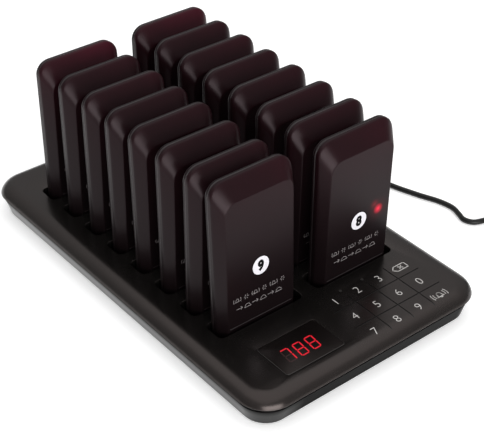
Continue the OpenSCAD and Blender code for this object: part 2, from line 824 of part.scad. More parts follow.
// Stands pager n in its slot, raised so that its lowest edge clears the floor
module in_slot(n) {
    lean = pager_lean[n - 1];
    lift = rest_gap + pager_t / 2 * abs(sin(lean));
    translate([pager_side(n) * column_x, slot_y(pager_row(n)), well_top + lift])
        rotate([-lean, 0, 0]) children();
}

module cover(n) {
    color(smoked) in_slot(n) pager_cover();
}

// A case with its electronics, which are solids of their own
module case(n) {
    color(case_black) in_slot(n) {
        pager_case();
        pager_board();
        pager_battery();
        pager_motor();
        pager_buzzer();
        pager_lights();
        pager_contacts();
    }
}

// ---------------------------------------------------------------- the nodes

top_shell();
bottom_shell();
display_window();
display_module();
panel_board();
touch_pads();
status_lights();
main_board();
radio_module();
base_buzzer();
charging_boards();
charging_pins();
wire_links();
board_screws();
case_screws();
rubber_feet();
dc_jack();
dc_plug();
power_cord();
power_cord_coil();
power_adapter();
adapter_pins();
cover(1);  // pager_01_cover
case(1);  // pager_01_case
cover(2);  // pager_02_cover
case(2);  // pager_02_case
cover(3);  // pager_03_cover
case(3);  // pager_03_case
cover(4);  // pager_04_cover
case(4);  // pager_04_case
cover(5);  // pager_05_cover
case(5);  // pager_05_case
cover(6);  // pager_06_cover
case(6);  // pager_06_case
cover(7);  // pager_07_cover
case(7);  // pager_07_case
cover(8);  // pager_08_cover
color(case_black) in_slot(8) pager_case();  // pager_08_case
color(board_green) in_slot(8) pager_board();  // pager_08_board
color(metal) in_slot(8) pager_battery();  // pager_08_battery
color(metal) in_slot(8) pager_motor();  // pager_08_motor
color(case_black) in_slot(8) pager_buzzer();  // pager_08_buzzer
color("red") in_slot(8) pager_lights();  // pager_08_lights
color(gold) in_slot(8) pager_contacts();  // pager_08_contacts
cover(9);  // pager_09_cover
case(9);  // pager_09_case
cover(10);  // pager_10_cover
case(10);  // pager_10_case
cover(11);  // pager_11_cover
case(11);  // pager_11_case
cover(12);  // pager_12_cover
case(12);  // pager_12_case
cover(13);  // pager_13_cover
case(13);  // pager_13_case
cover(14);  // pager_14_cover
case(14);  // pager_14_case
cover(15);  // pager_15_cover
case(15);  // pager_15_case
cover(16);  // pager_16_cover
case(16);  // pager_16_case
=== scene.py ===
"""Looks of the guest pager system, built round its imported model.

The charging base has a satin top shell over a glossy lower shell, a touch
keypad, a three-digit display and sixteen slots. A smoked pager stands in each
slot, and a thin lead runs from the back of the base to a wall adapter.
Shapes are given in millimetres, as in the part's source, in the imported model's
own frame, and become metres where a mesh is made. Finishes are in metres.
"""

import logging
import math
from dataclasses import dataclass, field, replace
from enum import Enum, IntEnum
from functools import cached_property
from typing import Iterable, Sequence

import bmesh
import bpy
from mathutils import Matrix, Vector


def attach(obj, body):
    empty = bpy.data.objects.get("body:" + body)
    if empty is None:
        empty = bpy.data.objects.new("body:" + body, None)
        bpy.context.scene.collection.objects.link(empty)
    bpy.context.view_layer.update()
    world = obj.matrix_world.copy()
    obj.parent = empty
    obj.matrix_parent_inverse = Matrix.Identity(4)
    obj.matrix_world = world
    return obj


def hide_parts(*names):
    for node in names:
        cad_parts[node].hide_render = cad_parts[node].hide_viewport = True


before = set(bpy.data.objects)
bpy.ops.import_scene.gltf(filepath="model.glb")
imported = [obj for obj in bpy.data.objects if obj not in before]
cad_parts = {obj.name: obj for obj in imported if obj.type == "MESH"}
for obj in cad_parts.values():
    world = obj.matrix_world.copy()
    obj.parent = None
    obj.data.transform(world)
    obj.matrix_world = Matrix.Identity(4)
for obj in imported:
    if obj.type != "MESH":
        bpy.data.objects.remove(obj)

log = logging.getLogger("pager_system")
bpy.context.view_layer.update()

Colour = tuple[float, float, float]
Point = tuple[float, float, float]
Pair = tuple[float, float]
Mesh = bpy.types.Mesh
Object = bpy.types.Object

MM = 0.001
BASE = "base"
UP: Point = (0.0, 0.0, 1.0)
DOWN: Point = (0.0, 0.0, -1.0)
WHITE: Colour = (1.0, 1.0, 1.0)
BLACK: Colour = (0.0, 0.0, 0.0)


def tinted(colour: Colour, share: float, more: float = 0.0) -> Colour:
    """Returns a colour times a share, and a little more."""
    return tuple(c * share + more for c in colour)


# ---- shader wiring


class Sock:
    """A shader socket on which Python's arithmetic adds Math nodes."""

    def __init__(self, wiring: "Wiring", socket: bpy.types.NodeSocket) -> None:
        """Wraps an output socket of a wiring."""
        self.wiring = wiring
        self.socket = socket

    def math(self, operation: str, *others: "Sock | float") -> "Sock":
        """Returns the result of a Math node whose first value is this socket."""
        values = dict(enumerate((self, *others)))
        return self.wiring.node("ShaderNodeMath", {"operation": operation}, values)

    def clamped(self) -> "Sock":
        """Returns this value held between 0 and 1."""
        return self.wiring.node("ShaderNodeClamp", {}, {"Value": self})

    def named(self, output: str) -> "Sock":
        """Returns another output of the same node."""
        return Sock(self.wiring, self.socket.node.outputs[output])

    def __add__(self, other: "Sock | float") -> "Sock":
        """Returns the sum."""
        return self.math("ADD", other)

    def __sub__(self, other: "Sock | float") -> "Sock":
        """Returns this value less the other."""
        return self.math("SUBTRACT", other)

    def __rsub__(self, other: float) -> "Sock":
        """Returns the number less this value."""
        return self.wiring.node("ShaderNodeMath", {"operation": "SUBTRACT"}, {0: other, 1: self})

    def __mul__(self, other: "Sock | float") -> "Sock":
        """Returns the product."""
        return self.math("MULTIPLY", other)

    def __truediv__(self, other: "Sock | float") -> "Sock":
        """Returns this value over the other."""
        return self.math("DIVIDE", other)

    def __pow__(self, other: "Sock | float") -> "Sock":
        """Returns this value to a power."""
        return self.math("POWER", other)

    def __gt__(self, other: "Sock | float") -> "Sock":
        """Returns 1 where this value is the greater, and 0 elsewhere."""
        return self.math("GREATER_THAN", other)

    __radd__ = __add__
    __rmul__ = __mul__


Value = Sock | float | Sequence[float]


class Wiring:
    """The node tree of one material, or of the world.

    The Mix node keeps sockets of the same name for each data type, so its
    colour sockets are found by number.
    """

    MIX_FACTOR, MIX_LOW, MIX_HIGH, MIX_RESULT = 0, 6, 7, 2

    def __init__(self, tree: bpy.types.NodeTree) -> None:
        """Starts on a tree, and empties it."""
        self.tree = tree
        tree.nodes.clear()

    def node(
        self,
        kind: str,
        settings: dict[str, object],
        inputs: dict[str | int, Value],
        output: str | int = 0,
    ) -> Sock | None:
        """Adds a node.

        Args:
            kind: The node's type.
            settings: What is set on the node first.
            inputs: Values or sockets for the node's inputs.
            output: The output to return.

        Returns:
            The wrapped output, or None for a node that has none.
        """
        made = self.tree.nodes.new(kind)
        for name, value in settings.items():
            setattr(made, name, value)
        for name, value in inputs.items():
            self.feed(made.inputs[name], value)
        return Sock(self, made.outputs[output]) if made.outputs else None

    def feed(self, target: bpy.types.NodeSocket, value: Value) -> None:
        """Sets or links one input.

        Args:
            target: The input socket.
            value: A number, a colour or a wrapped output.
        """
        if isinstance(value, Sock):
            self.tree.links.new(value.socket, target)
        elif isinstance(value, (int, float)):
            target.default_value = value
        else:
            size = len(target.default_value)
            target.default_value = (*value, 1.0)[:size]

    @cached_property
    def at(self) -> Sock:
        """Returns the Object coordinates, which are the frame's own metres."""
        return self.node("ShaderNodeTexCoord", {}, {}, "Object")

    def noise(self, scale: float, detail: float = 2.0, at: Sock | None = None) -> Sock:
        """Returns noise with so many features in a metre and octaves, about 0.5 in the mean."""
        inputs = {"Vector": at or self.at, "Scale": scale, "Detail": detail}
        return self.node("ShaderNodeTexNoise", {}, inputs, "Fac")

    def distance(self, spot: Point) -> Sock:
        """Returns the distance from a spot."""
        return self.node("ShaderNodeVectorMath", {"operation": "DISTANCE"}, {0: self.at, 1: spot}, "Value")

    def mix(self, factor: Value, low: Value, high: Value) -> Sock:
        """Returns a mix, the low colour where the factor is 0 and the high one where it is 1."""
        inputs = {self.MIX_FACTOR: factor, self.MIX_LOW: low, self.MIX_HIGH: high}
        return self.node("ShaderNodeMix", {"data_type": "RGBA"}, inputs, self.MIX_RESULT)

    def bump(self, height: Sock, depth: float) -> Sock:
        """Returns the normal of a height from 0 to 1, where 1 is so deep in metres."""
        return self.node("ShaderNodeBump", {}, {"Height": height, "Distance": depth}, "Normal")


# ---- finishes


@dataclass(frozen=True)
class Finish:
    """A plain moulded finish; the others add to it.

    Attributes:
        name: The material's name.
        colour: Its colour, linear.
        roughness: Its mean roughness.
        ior: Its refractive index.
        metallic: 1 for a metal.
        cast: The colour cast of its reflections.
        patches: Duller patches in a metre.
        pits: Fine pits in a metre.
    """

    name: str
    colour: Colour
    roughness: float = 0.4
    ior: float = 1.5
    metallic: float = 0.0
    cast: Colour = WHITE
    patches: float = 90.0
    pits: float = 1800.0

    def material(self) -> bpy.types.Material:
        """Returns the material, made the first time."""
        name = f"look_{self.name}"
        known = bpy.data.materials.get(name)
        if known:
            return known
        made = bpy.data.materials.new(name)
        made.use_nodes = True
        made.diffuse_color = (*self.colour, 1.0)
        w = Wiring(made.node_tree)
        shader = w.node("ShaderNodeBsdfPrincipled", {}, self.constants())
        for socket, value in self.paint(w).items():
            w.feed(shader.socket.node.inputs[socket], value)
        w.node("ShaderNodeOutputMaterial", {}, {"Surface": shader})
        return made

    def constants(self) -> dict[str, Value]:
        """Returns the shader's inputs that are the same all over."""
        return {
            "Base Color": self.colour, "Roughness": self.roughness, "Metallic": self.metallic,
            "IOR": self.ior, "Specular Tint": self.cast,
        }

    def strayed(self, amount: Sock, share: float) -> Sock:
        """Returns the roughness, lower or higher by a share as the amount goes from 0 to 1."""
        return self.roughness * (1 - share) + amount * (self.roughness * 2 * share)

    def paint(self, w: Wiring) -> dict[str, Value]:
        """Works out what varies over the surface.

        Args:
            w: The material's wiring.

        Returns:
            The shader's inputs and what feeds them.
        """
        return {
            "Roughness": self.strayed(w.noise(self.patches), 0.15),
            "Normal": w.bump(w.noise(self.pits), 0.01 * MM),
        }


@dataclass(frozen=True)
class GrainedPlastic(Finish):
    """Moulded plastic with a fine eroded grain, handling marks and dust.

    Attributes:
        grain: Grains in a metre.
        depth: Depth of the grain, in metres.
        grip: How far the grain changes the roughness.
        marks: Handling marks in a metre.
        smudge: How far the marks change the roughness.
        tones: The darkest and the palest tone, as shares of the colour.
        dust: How much pale dust lies on it, from 0 to 1.
        dust_colour: The dust's colour, linear.
        specks: Specks of dust in a metre.
        speck_from: The noise from which there is a speck.
        speck_edge: How sharp a speck's edge is.
    """

    grain: float = 2600.0
    depth: float = 0.02 * MM
    grip: float = 0.06
    marks: float = 38.0
    smudge: float = 0.1
    tones: Pair = (0.8, 1.25)
    dust: float = 0.0
    dust_colour: Colour = (0.3, 0.29, 0.27)
    specks: float = 900.0
    speck_from: float = 0.74
    speck_edge: float = 9.0

    def paint(self, w: Wiring) -> dict[str, Value]:
        """Works out the grain, the marks and the dust.

        Args:
            w: The material's wiring.

        Returns:
            The shader's inputs and what feeds them.
        """
        marks = w.noise(self.marks, detail=4.0)
        cells = w.noise(self.grain, detail=3.0)
        tone = w.mix(marks, *(tinted(self.colour, share) for share in self.tones))
        specks = ((w.noise(self.specks, detail=1.0) - self.speck_from) * self.speck_edge).clamped()
        return {
            "Base Color": w.mix(specks * self.dust, tone, self.dust_colour),
            "Roughness": self.roughness + (marks - 0.5) * self.smudge + (cells - 0.5) * self.grip,
            "Normal": w.bump(cells, self.depth),
        }


@dataclass(frozen=True)
class GlossPlastic(Finish):
    """Polished plastic with the faint waviness of moulding.

    Attributes:
        wave: Waves in a metre.
        depth: Height of the waves, in metres.
        haze: Hazy patches in a metre.
    """

    wave: float = 160.0
    depth: float = 0.03 * MM
    haze: float = 45.0

    def paint(self, w: Wiring) -> dict[str, Value]:
        """Works out the waviness and the fine scratches.

        Args:
            w: The material's wiring.

        Returns:
            The shader's inputs and what feeds them.
        """
        return {
            "Roughness": self.strayed(w.noise(self.haze, detail=5.0), 0.25),
            "Normal": w.bump(w.noise(self.wave), self.depth),
        }


@dataclass(frozen=True)
class SkirtPlastic(GlossPlastic):
    """Polished plastic whose polish fades out under the rim and along the front, as painted shade on its
    reflections.

    Attributes:
        dull_z: Height from which its reflections are painted out as shade.
        bright_z: Height up to which it keeps its full polish.
        dull_x: Where, along X, the front's reflections are painted out as shade.
        bright_x: Where, along X, it still has its full polish.
        front_polish: The polish that is left beyond dull_x.
        coat_roughness: Roughness of the polish.
        coat_ior: Refractive index of the polish.
    """

    dull_z: float = 12.2 * MM
    bright_z: float = 7.5 * MM
    dull_x: float = -52.0 * MM
    bright_x: float = -74.0 * MM
    front_polish: float = 0.03
    coat_roughness: float = 0.16
    coat_ior: float = 1.42

    def constants(self) -> dict[str, Value]:
        """Returns the constant inputs, with those of the polish, a coat whose weight varies."""
        coat = {"Coat Roughness": self.coat_roughness, "Coat IOR": self.coat_ior}
        return {**super().constants(), **coat}

    def paint(self, w: Wiring) -> dict[str, Value]:
        """Works out the waviness and where the polish lies; where it fades out is painted shade.

        Args:
            w: The material's wiring.

        Returns:
            The shader's inputs and what feeds them.
        """
        apart = w.node("ShaderNodeSeparateXYZ", {}, {"Vector": w.at}, "X")
        # Painted shade: the polish coat fades out above the lowest band and towards the front, where the
        # reflections would be shaded.
        low = ((self.dull_z - apart.named("Z")) / (self.dull_z - self.bright_z)).clamped()
        left = ((self.dull_x - apart) / (self.dull_x - self.bright_x)).clamped()
        side = left * (1.0 - self.front_polish) + self.front_polish
        return {**super().paint(w), "Coat Weight": low * side}


@dataclass(frozen=True)
class Glow:
    """A ball of light inside smoked plastic.

    Attributes:
        offset: Where its middle lies from the lamp, in metres.
        reach: Its radius, in metres.
        fall: The power with which it fades.
        weight: How bright its middle is.
    """

    offset: Point
    reach: float
    fall: float
    weight: float

    def light(self, w: Wiring, lamp: Point) -> Sock:
        """Works out how bright it is.

        Args:
            w: The material's wiring.
            lamp: The lamp's middle.

        Returns:
            The brightness.
        """
        middle = [a + b for a, b in zip(lamp, self.offset)]
        near = (1.0 - w.distance(middle) / self.reach).clamped()
        return near ** self.fall * self.weight


@dataclass(frozen=True)
class SmokedPlastic(Finish):
    """Smoked see-through plastic, with a painted glow where light gets in behind it.

    One mesh attribute says how strong that painted glow is, and "rim"
    where an edge gets a polish and a painted highlight.

    Attributes:
        warm: The colour of the painted glow, where light shows through, linear.
        rubbed: The colour of an edge's painted highlight, linear.
        rubbed_share: How far a highlighted edge takes that colour.
        coat_roughness: Roughness of the polish on a highlighted edge.
        clouds: Cloudy patches in a metre.
        grain: Grains in a metre.
        lamp: Middle of a lamp that shines through from inside, if any.
        lamp_colour: The lamp's colour, linear.
        glows: The lamp's bright core, its halo and a short streak.
    """

    warm: Colour = (0.036, 0.003, 0.008)
    rubbed: Colour = (0.026, 0.021, 0.022)
    rubbed_share: float = 0.5
    coat_roughness: float = 0.28
    clouds: float = 60.0
    grain: float = 3000.0
    lamp: Point | None = None
    lamp_colour: Colour = (1.0, 0.02, 0.06)
    glows: Sequence[Glow] = (
        Glow((0.0, 0.0, 0.0), 3.8 * MM, 1.3, 1.1),
        Glow((0.0, 0.0, 0.0), 12.0 * MM, 3.0, 0.09),
        Glow((-3.2 * MM, 0.0, 4.4 * MM), 4.6 * MM, 2.0, 0.16),
    )

    def constants(self) -> dict[str, Value]:
        """Returns the constant inputs, with the edge's polish and the lamp's strength."""
        strength = 1.0 if self.lamp else 0.0
        more = {"Coat Roughness": self.coat_roughness, "Emission Strength": strength}
        return {**super().constants(), **more}

    def paint(self, w: Wiring) -> dict[str, Value]:
        """Works out the painted glow, the edges' polish and painted highlight, the faint grain and the
        light inside.

        Args:
            w: The material's wiring.

        Returns:
            The shader's inputs and what feeds them.
        """
        warmth, rim = (
            w.node("ShaderNodeAttribute", {"attribute_name": name}, {}, "Fac") for name in ("warmth", "rim")
        )
        cloud = w.noise(self.clouds, detail=3.0)
        fine = w.noise(self.grain)
        # Painted glow: the colour turns red where light would show through the cover, most at the top.
        tint = (warmth * (cloud * 0.7 + 0.65)).clamped()
        # Painted highlight: the rims are painted lighter, and also get a real polish coat.
        polish_and_highlight = (rim * (cloud * 0.6 + 0.7)).clamped()
        body = w.mix(tint, self.colour, self.warm)
        painted = {
            "Base Color": w.mix(polish_and_highlight * self.rubbed_share, body, self.rubbed),
            "Coat Weight": polish_and_highlight,
            "Roughness": self.roughness + (cloud - 0.5) * 0.08 + (fine - 0.5) * 0.04,
            "Normal": w.bump(fine, 0.008 * MM),
        }
        if self.lamp:
            total = sum(glow.light(w, self.lamp) for glow in self.glows)
            painted["Emission Color"] = w.mix(total, BLACK, self.lamp_colour)
        return painted


@dataclass(frozen=True)
class PlatedMetal(Finish):
    """Turned or stamped metal with fine tool marks.

    Attributes:
        marks: Tool marks in a metre.
        along: How the pattern is stretched along each axis.
        tarnish: Tarnished patches in a metre.
        tarnished: How bright the metal is there, as a share.
    """

    roughness: float = 0.28
    metallic: float = 1.0
    marks: float = 4000.0
    along: Point = (1.0, 1.0, 0.12)
    tarnish: float = 300.0
    tarnished: float = 0.62

    def paint(self, w: Wiring) -> dict[str, Value]:
        """Works out the tool marks and a faint tarnish.

        Args:
            w: The material's wiring.

        Returns:
            The shader's inputs and what feeds them.
        """
        stretched = w.node("ShaderNodeMapping", {}, {"Vector": w.at, "Scale": self.along})
        lines = w.noise(self.marks, at=stretched)
        tarnish = w.noise(self.tarnish, detail=3.0)
        return {
            "Base Color": w.mix(tarnish, self.colour, tinted(self.colour, self.tarnished)),
            "Roughness": self.strayed(lines, 0.3),
            "Normal": w.bump(lines, 0.006 * MM),
        }


@dataclass(frozen=True)
class CircuitBoard(Finish):
    """Green solder mask with the copper tracks showing faintly through it.

    Attributes:
        cell: Size of a field of tracks, in metres.
        tracks: Tracks in a field.
        gap: How much of the pitch lies between two tracks.
        copper: Share and surplus of the mask's colour over copper.
        weave: Threads of the board's weave in a metre.
    """

    cell: float = 9.6 * MM
    tracks: float = 14.0
    gap: float = 0.62
    copper: Pair = (0.665, 0.152)
    weave: float = 1400.0

    def paint(self, w: Wiring) -> dict[str, Value]:
        """Works out the tracks and the weave.

        Args:
            w: The material's wiring.

        Returns:
            The shader's inputs and what feeds them.
        """
        settings = {"feature": "F1", "distance": "CHEBYCHEV"}
        inputs = {"Vector": w.at, "Scale": 1.0 / self.cell, "Randomness": 0.7}
        fields = w.node("ShaderNodeTexVoronoi", settings, inputs, "Distance")
        tracks = ((fields * self.tracks).math("FRACT") > self.gap).clamped()
        weave = w.noise(self.weave)
        return {
            "Base Color": w.mix(tracks, self.colour, tinted(self.colour, *self.copper)),
            "Roughness": 0.28 + weave * 0.16,
            "Normal": w.bump(tracks * 0.7 + weave * 0.3, 0.03 * MM),
        }


@dataclass(frozen=True)
class Ink(Finish):
    """Screen-printed ink, a little uneven where the screen's mesh left it.

    Attributes:
        screen: Threads of the screen in a metre.
        thin: How bright the ink is where it is thin, as a share.
    """

    screen: float = 2200.0
    thin: float = 0.82

    def paint(self, w: Wiring) -> dict[str, Value]:
        """Works out the unevenness.

        Args:
            w: The material's wiring.

        Returns:
            The shader's inputs and what feeds them.
        """
        screen = w.noise(self.screen)
        return {
            "Base Color": w.mix(screen, tinted(self.colour, self.thin), self.colour),
            "Roughness": self.strayed(screen, 0.2),
        }


@dataclass(frozen=True)
class LitSegment(Finish):
    """A display segment or a lamp behind a tinted face.

    Attributes:
        light: The colour it gives, linear.
        strength: How strongly it shines.
        spots: Brighter spots in a metre.
        between: How bright it is between them, as a share.
    """

    light: Colour = (1.0, 0.03, 0.03)
    strength: float = 1.0
    spots: float = 420.0
    between: float = 0.72

    def constants(self) -> dict[str, Value]:
        """Returns the constant inputs, with how strongly it shines."""
        return {**super().constants(), "Emission Strength": self.strength}

    def paint(self, w: Wiring) -> dict[str, Value]:
        """Returns the light, a little stronger over each diode."""
        spots = w.noise(self.spots, detail=1.0)
        return {"Emission Color": w.mix(spots, tinted(self.light, self.between), self.light)}


@dataclass(frozen=True)
class LitPaper(Finish):
    """White paper that is lit from below, as on a product table.

    Attributes:
        strength: How strongly it shines.
    """

    strength: float = 0.30

    def constants(self) -> dict[str, Value]:
        """Returns the constant inputs, with its light."""
        return {**super().constants(), "Emission Color": WHITE, "Emission Strength": self.strength}


@dataclass(frozen=True)
class Rubber(Finish):
    """Soft rubber or foam with open pores.

    Attributes:
        pores: Pores in a metre.
        bloom: Share and surplus of the colour between the pores, against which the pores are painted darker
            as shade.
    """

    roughness: float = 0.75
    pores: float = 1500.0
    bloom: Pair = (1.6, 0.004)

    def paint(self, w: Wiring) -> dict[str, Value]:
        """Works out the pores, painted darker as shade.

        Args:
            w: The material's wiring.

        Returns:
            The shader's inputs and what feeds them.
        """
        inputs = {"Vector": w.at, "Scale": self.pores}
        pores = w.node("ShaderNodeTexVoronoi", {"feature": "F1"}, inputs, "Distance")
        return {
            # Painted shade: the pores, where the bump is low, keep the darker colour.
            "Base Color": w.mix(pores, self.colour, tinted(self.colour, *self.bloom)),
            "Roughness": self.roughness - 0.08 + pores * 0.16,
            "Normal": w.bump(pores, 0.05 * MM),
        }


@dataclass(frozen=True)
class Foil(Finish):
    """The crinkled silver wrap of a flat battery.

    Attributes:
        crinkles: Crinkles in a metre.
        hollow: How bright it is in a crinkle's hollow, as a share; this is painted shade.
    """

    roughness: float = 0.32
    metallic: float = 1.0
    crinkles: float = 500.0
    hollow: float = 0.8

    def paint(self, w: Wiring) -> dict[str, Value]:
        """Works out the crinkles, painted darker in their hollows as shade.

        Args:
            w: The material's wiring.

        Returns:
            The shader's inputs and what feeds them.
        """
        crinkle = w.noise(self.crinkles, detail=4.0)
        return {
            # Painted shade: the foil is darker where the crinkles' bump is low.
            "Base Color": w.mix(crinkle, tinted(self.colour, self.hollow), self.colour),
            "Roughness": self.roughness * 0.7 + crinkle * 0.2,
            "Normal": w.bump(crinkle, 0.08 * MM),
        }


WARM_CAST = (1.0, 0.84, 0.80)
SMOKE_CAST = (1.0, 0.84, 0.88)
TOP_SATIN = GrainedPlastic(
    "top_satin_black", (0.0036, 0.0033, 0.0031), 0.26, cast=WARM_CAST, smudge=0.06, dust=0.05
)
LOWER_GLOSS = SkirtPlastic("lower_gloss_black", (0.0028, 0.0027, 0.0026), 0.22, 1.06)
WINDOW_GLASS = GlossPlastic(
    "window_smoked", (0.0034, 0.0026, 0.0025), 0.26, 1.38, cast=WARM_CAST, wave=60.0, depth=0.004 * MM
)
# Painted highlight: a lighter colour along the window's edge, for its thin light outline.
WINDOW_EDGE_HIGHLIGHT = Ink("window_rim", (0.022, 0.020, 0.019), 0.45)
COVER_SMOKE = SmokedPlastic("pager_smoke", (0.0044, 0.0026, 0.0030), 0.32, 1.24, cast=SMOKE_CAST)
CASE_SMOKE = SmokedPlastic(
    "pager_case_smoke", (0.0044, 0.0028, 0.0032), 0.31, 1.20, cast=SMOKE_CAST, warm=(0.014, 0.003, 0.005)
)
WHITE_INK = Ink("legend_white", (0.62, 0.60, 0.58), 0.45)
BADGE_WHITE = Ink("badge_white", (0.70, 0.68, 0.72), 0.40)
BADGE_BLACK = Ink("badge_black", (0.004, 0.004, 0.004), 0.5, 1.1)
SIGN_GREY = Ink("picto_grey", (0.24, 0.22, 0.22), 0.5)
SEGMENT_ON = LitSegment("segment_on", (0.02, 0.001, 0.001), 0.3, light=(0.82, 0.012, 0.030))
SEGMENT_OFF = Ink("segment_off", (0.030, 0.012, 0.012), 0.3)
GROOVE_BLACK = Finish("groove_black", (0.002, 0.002, 0.002), 0.7)
LIGHT_PIPE = Finish("light_pipe", (0.024, 0.023, 0.022), 0.3)
FOOT_RUBBER = Rubber("foot_rubber", (0.016, 0.016, 0.016))
PAD_FOAM = Rubber("pad_foam", (0.03, 0.03, 0.032), 0.9, pores=2500.0)
LEAD_JACKET = GlossPlastic(
    "lead_jacket", (0.0040, 0.0039, 0.0038), 0.30, 1.34, wave=300.0, depth=0.02 * MM
)
CONNECTOR_BLACK = GrainedPlastic("connector_black", (0.009, 0.009, 0.009), 0.40, grain=3200.0)
ADAPTER_BLACK = GrainedPlastic(
    "adapter_black", (0.010, 0.010, 0.010), 0.42, grain=1800.0, depth=0.03 * MM
)
BOARD_GREEN = CircuitBoard("board_green", (0.004, 0.055, 0.020), 0.35)
HOUSING_BLACK = GrainedPlastic("housing_black", (0.012, 0.011, 0.011), 0.5)
BUZZER_BLACK = GrainedPlastic("buzzer_black", (0.010, 0.010, 0.010), 0.45)
SCREW_STEEL = PlatedMetal("screw_steel", (0.56, 0.55, 0.53))
TINNED = PlatedMetal("tinned_metal", (0.62, 0.62, 0.60), 0.34)
PIN_NICKEL = PlatedMetal("pin_nickel", (0.72, 0.70, 0.66), 0.22)
GOLD = PlatedMetal("gold_contact", (0.83, 0.60, 0.24), 0.24)
WIRE_RED = Finish("wire_red", (0.32, 0.02, 0.015), 0.45)
BATTERY_FOIL = Foil("battery_foil", (0.70, 0.70, 0.70))
LAMP_RED = LitSegment("lamp_red", (0.4, 0.02, 0.02), 0.3, strength=0.6, light=(1.0, 0.04, 0.05))
FLOOR_WHITE = LitPaper("floor_white", (0.92, 0.92, 0.92), 0.7)


# ---- making meshes


class Axis(IntEnum):
    """An axis, as its number in a vector."""

    X = 0
    Y = 1
    Z = 2


def moved(x: float, y: float, z: float) -> Matrix:
    """Returns a move by millimetres."""
    return Matrix.Translation((x * MM, y * MM, z * MM))


def turned(degrees: float, axis: Axis) -> Matrix:
    """Returns a turn about an axis through the origin."""
    return Matrix.Rotation(math.radians(degrees), 4, axis.name)


def quarter(steps: int) -> list[float]:
    """Returns the angles from 0 to a right angle, in radians, in even steps."""
    return [math.pi / 2 * i / steps for i in range(steps + 1)]


@dataclass(frozen=True)
class Section:
    """A rounded outline in a level plane, in millimetres.

    Attributes:
        width: Its size along X.
        length: Its size along Y.
        radius: Its corner radius.
        z: Its height.
        x: Its middle along X.
        y: Its middle along Y.
    """

    LEAST_RADIUS = 0.05

    width: float
    length: float
    radius: float
    z: float
    x: float = 0.0
    y: float = 0.0

    def inset(self, by: float, z: float) -> "Section":
        """Returns this outline drawn in all round, at another height."""
        radius = max(self.radius - by, self.LEAST_RADIUS)
        return Section(self.width - 2 * by, self.length - 2 * by, radius, z, self.x, self.y)


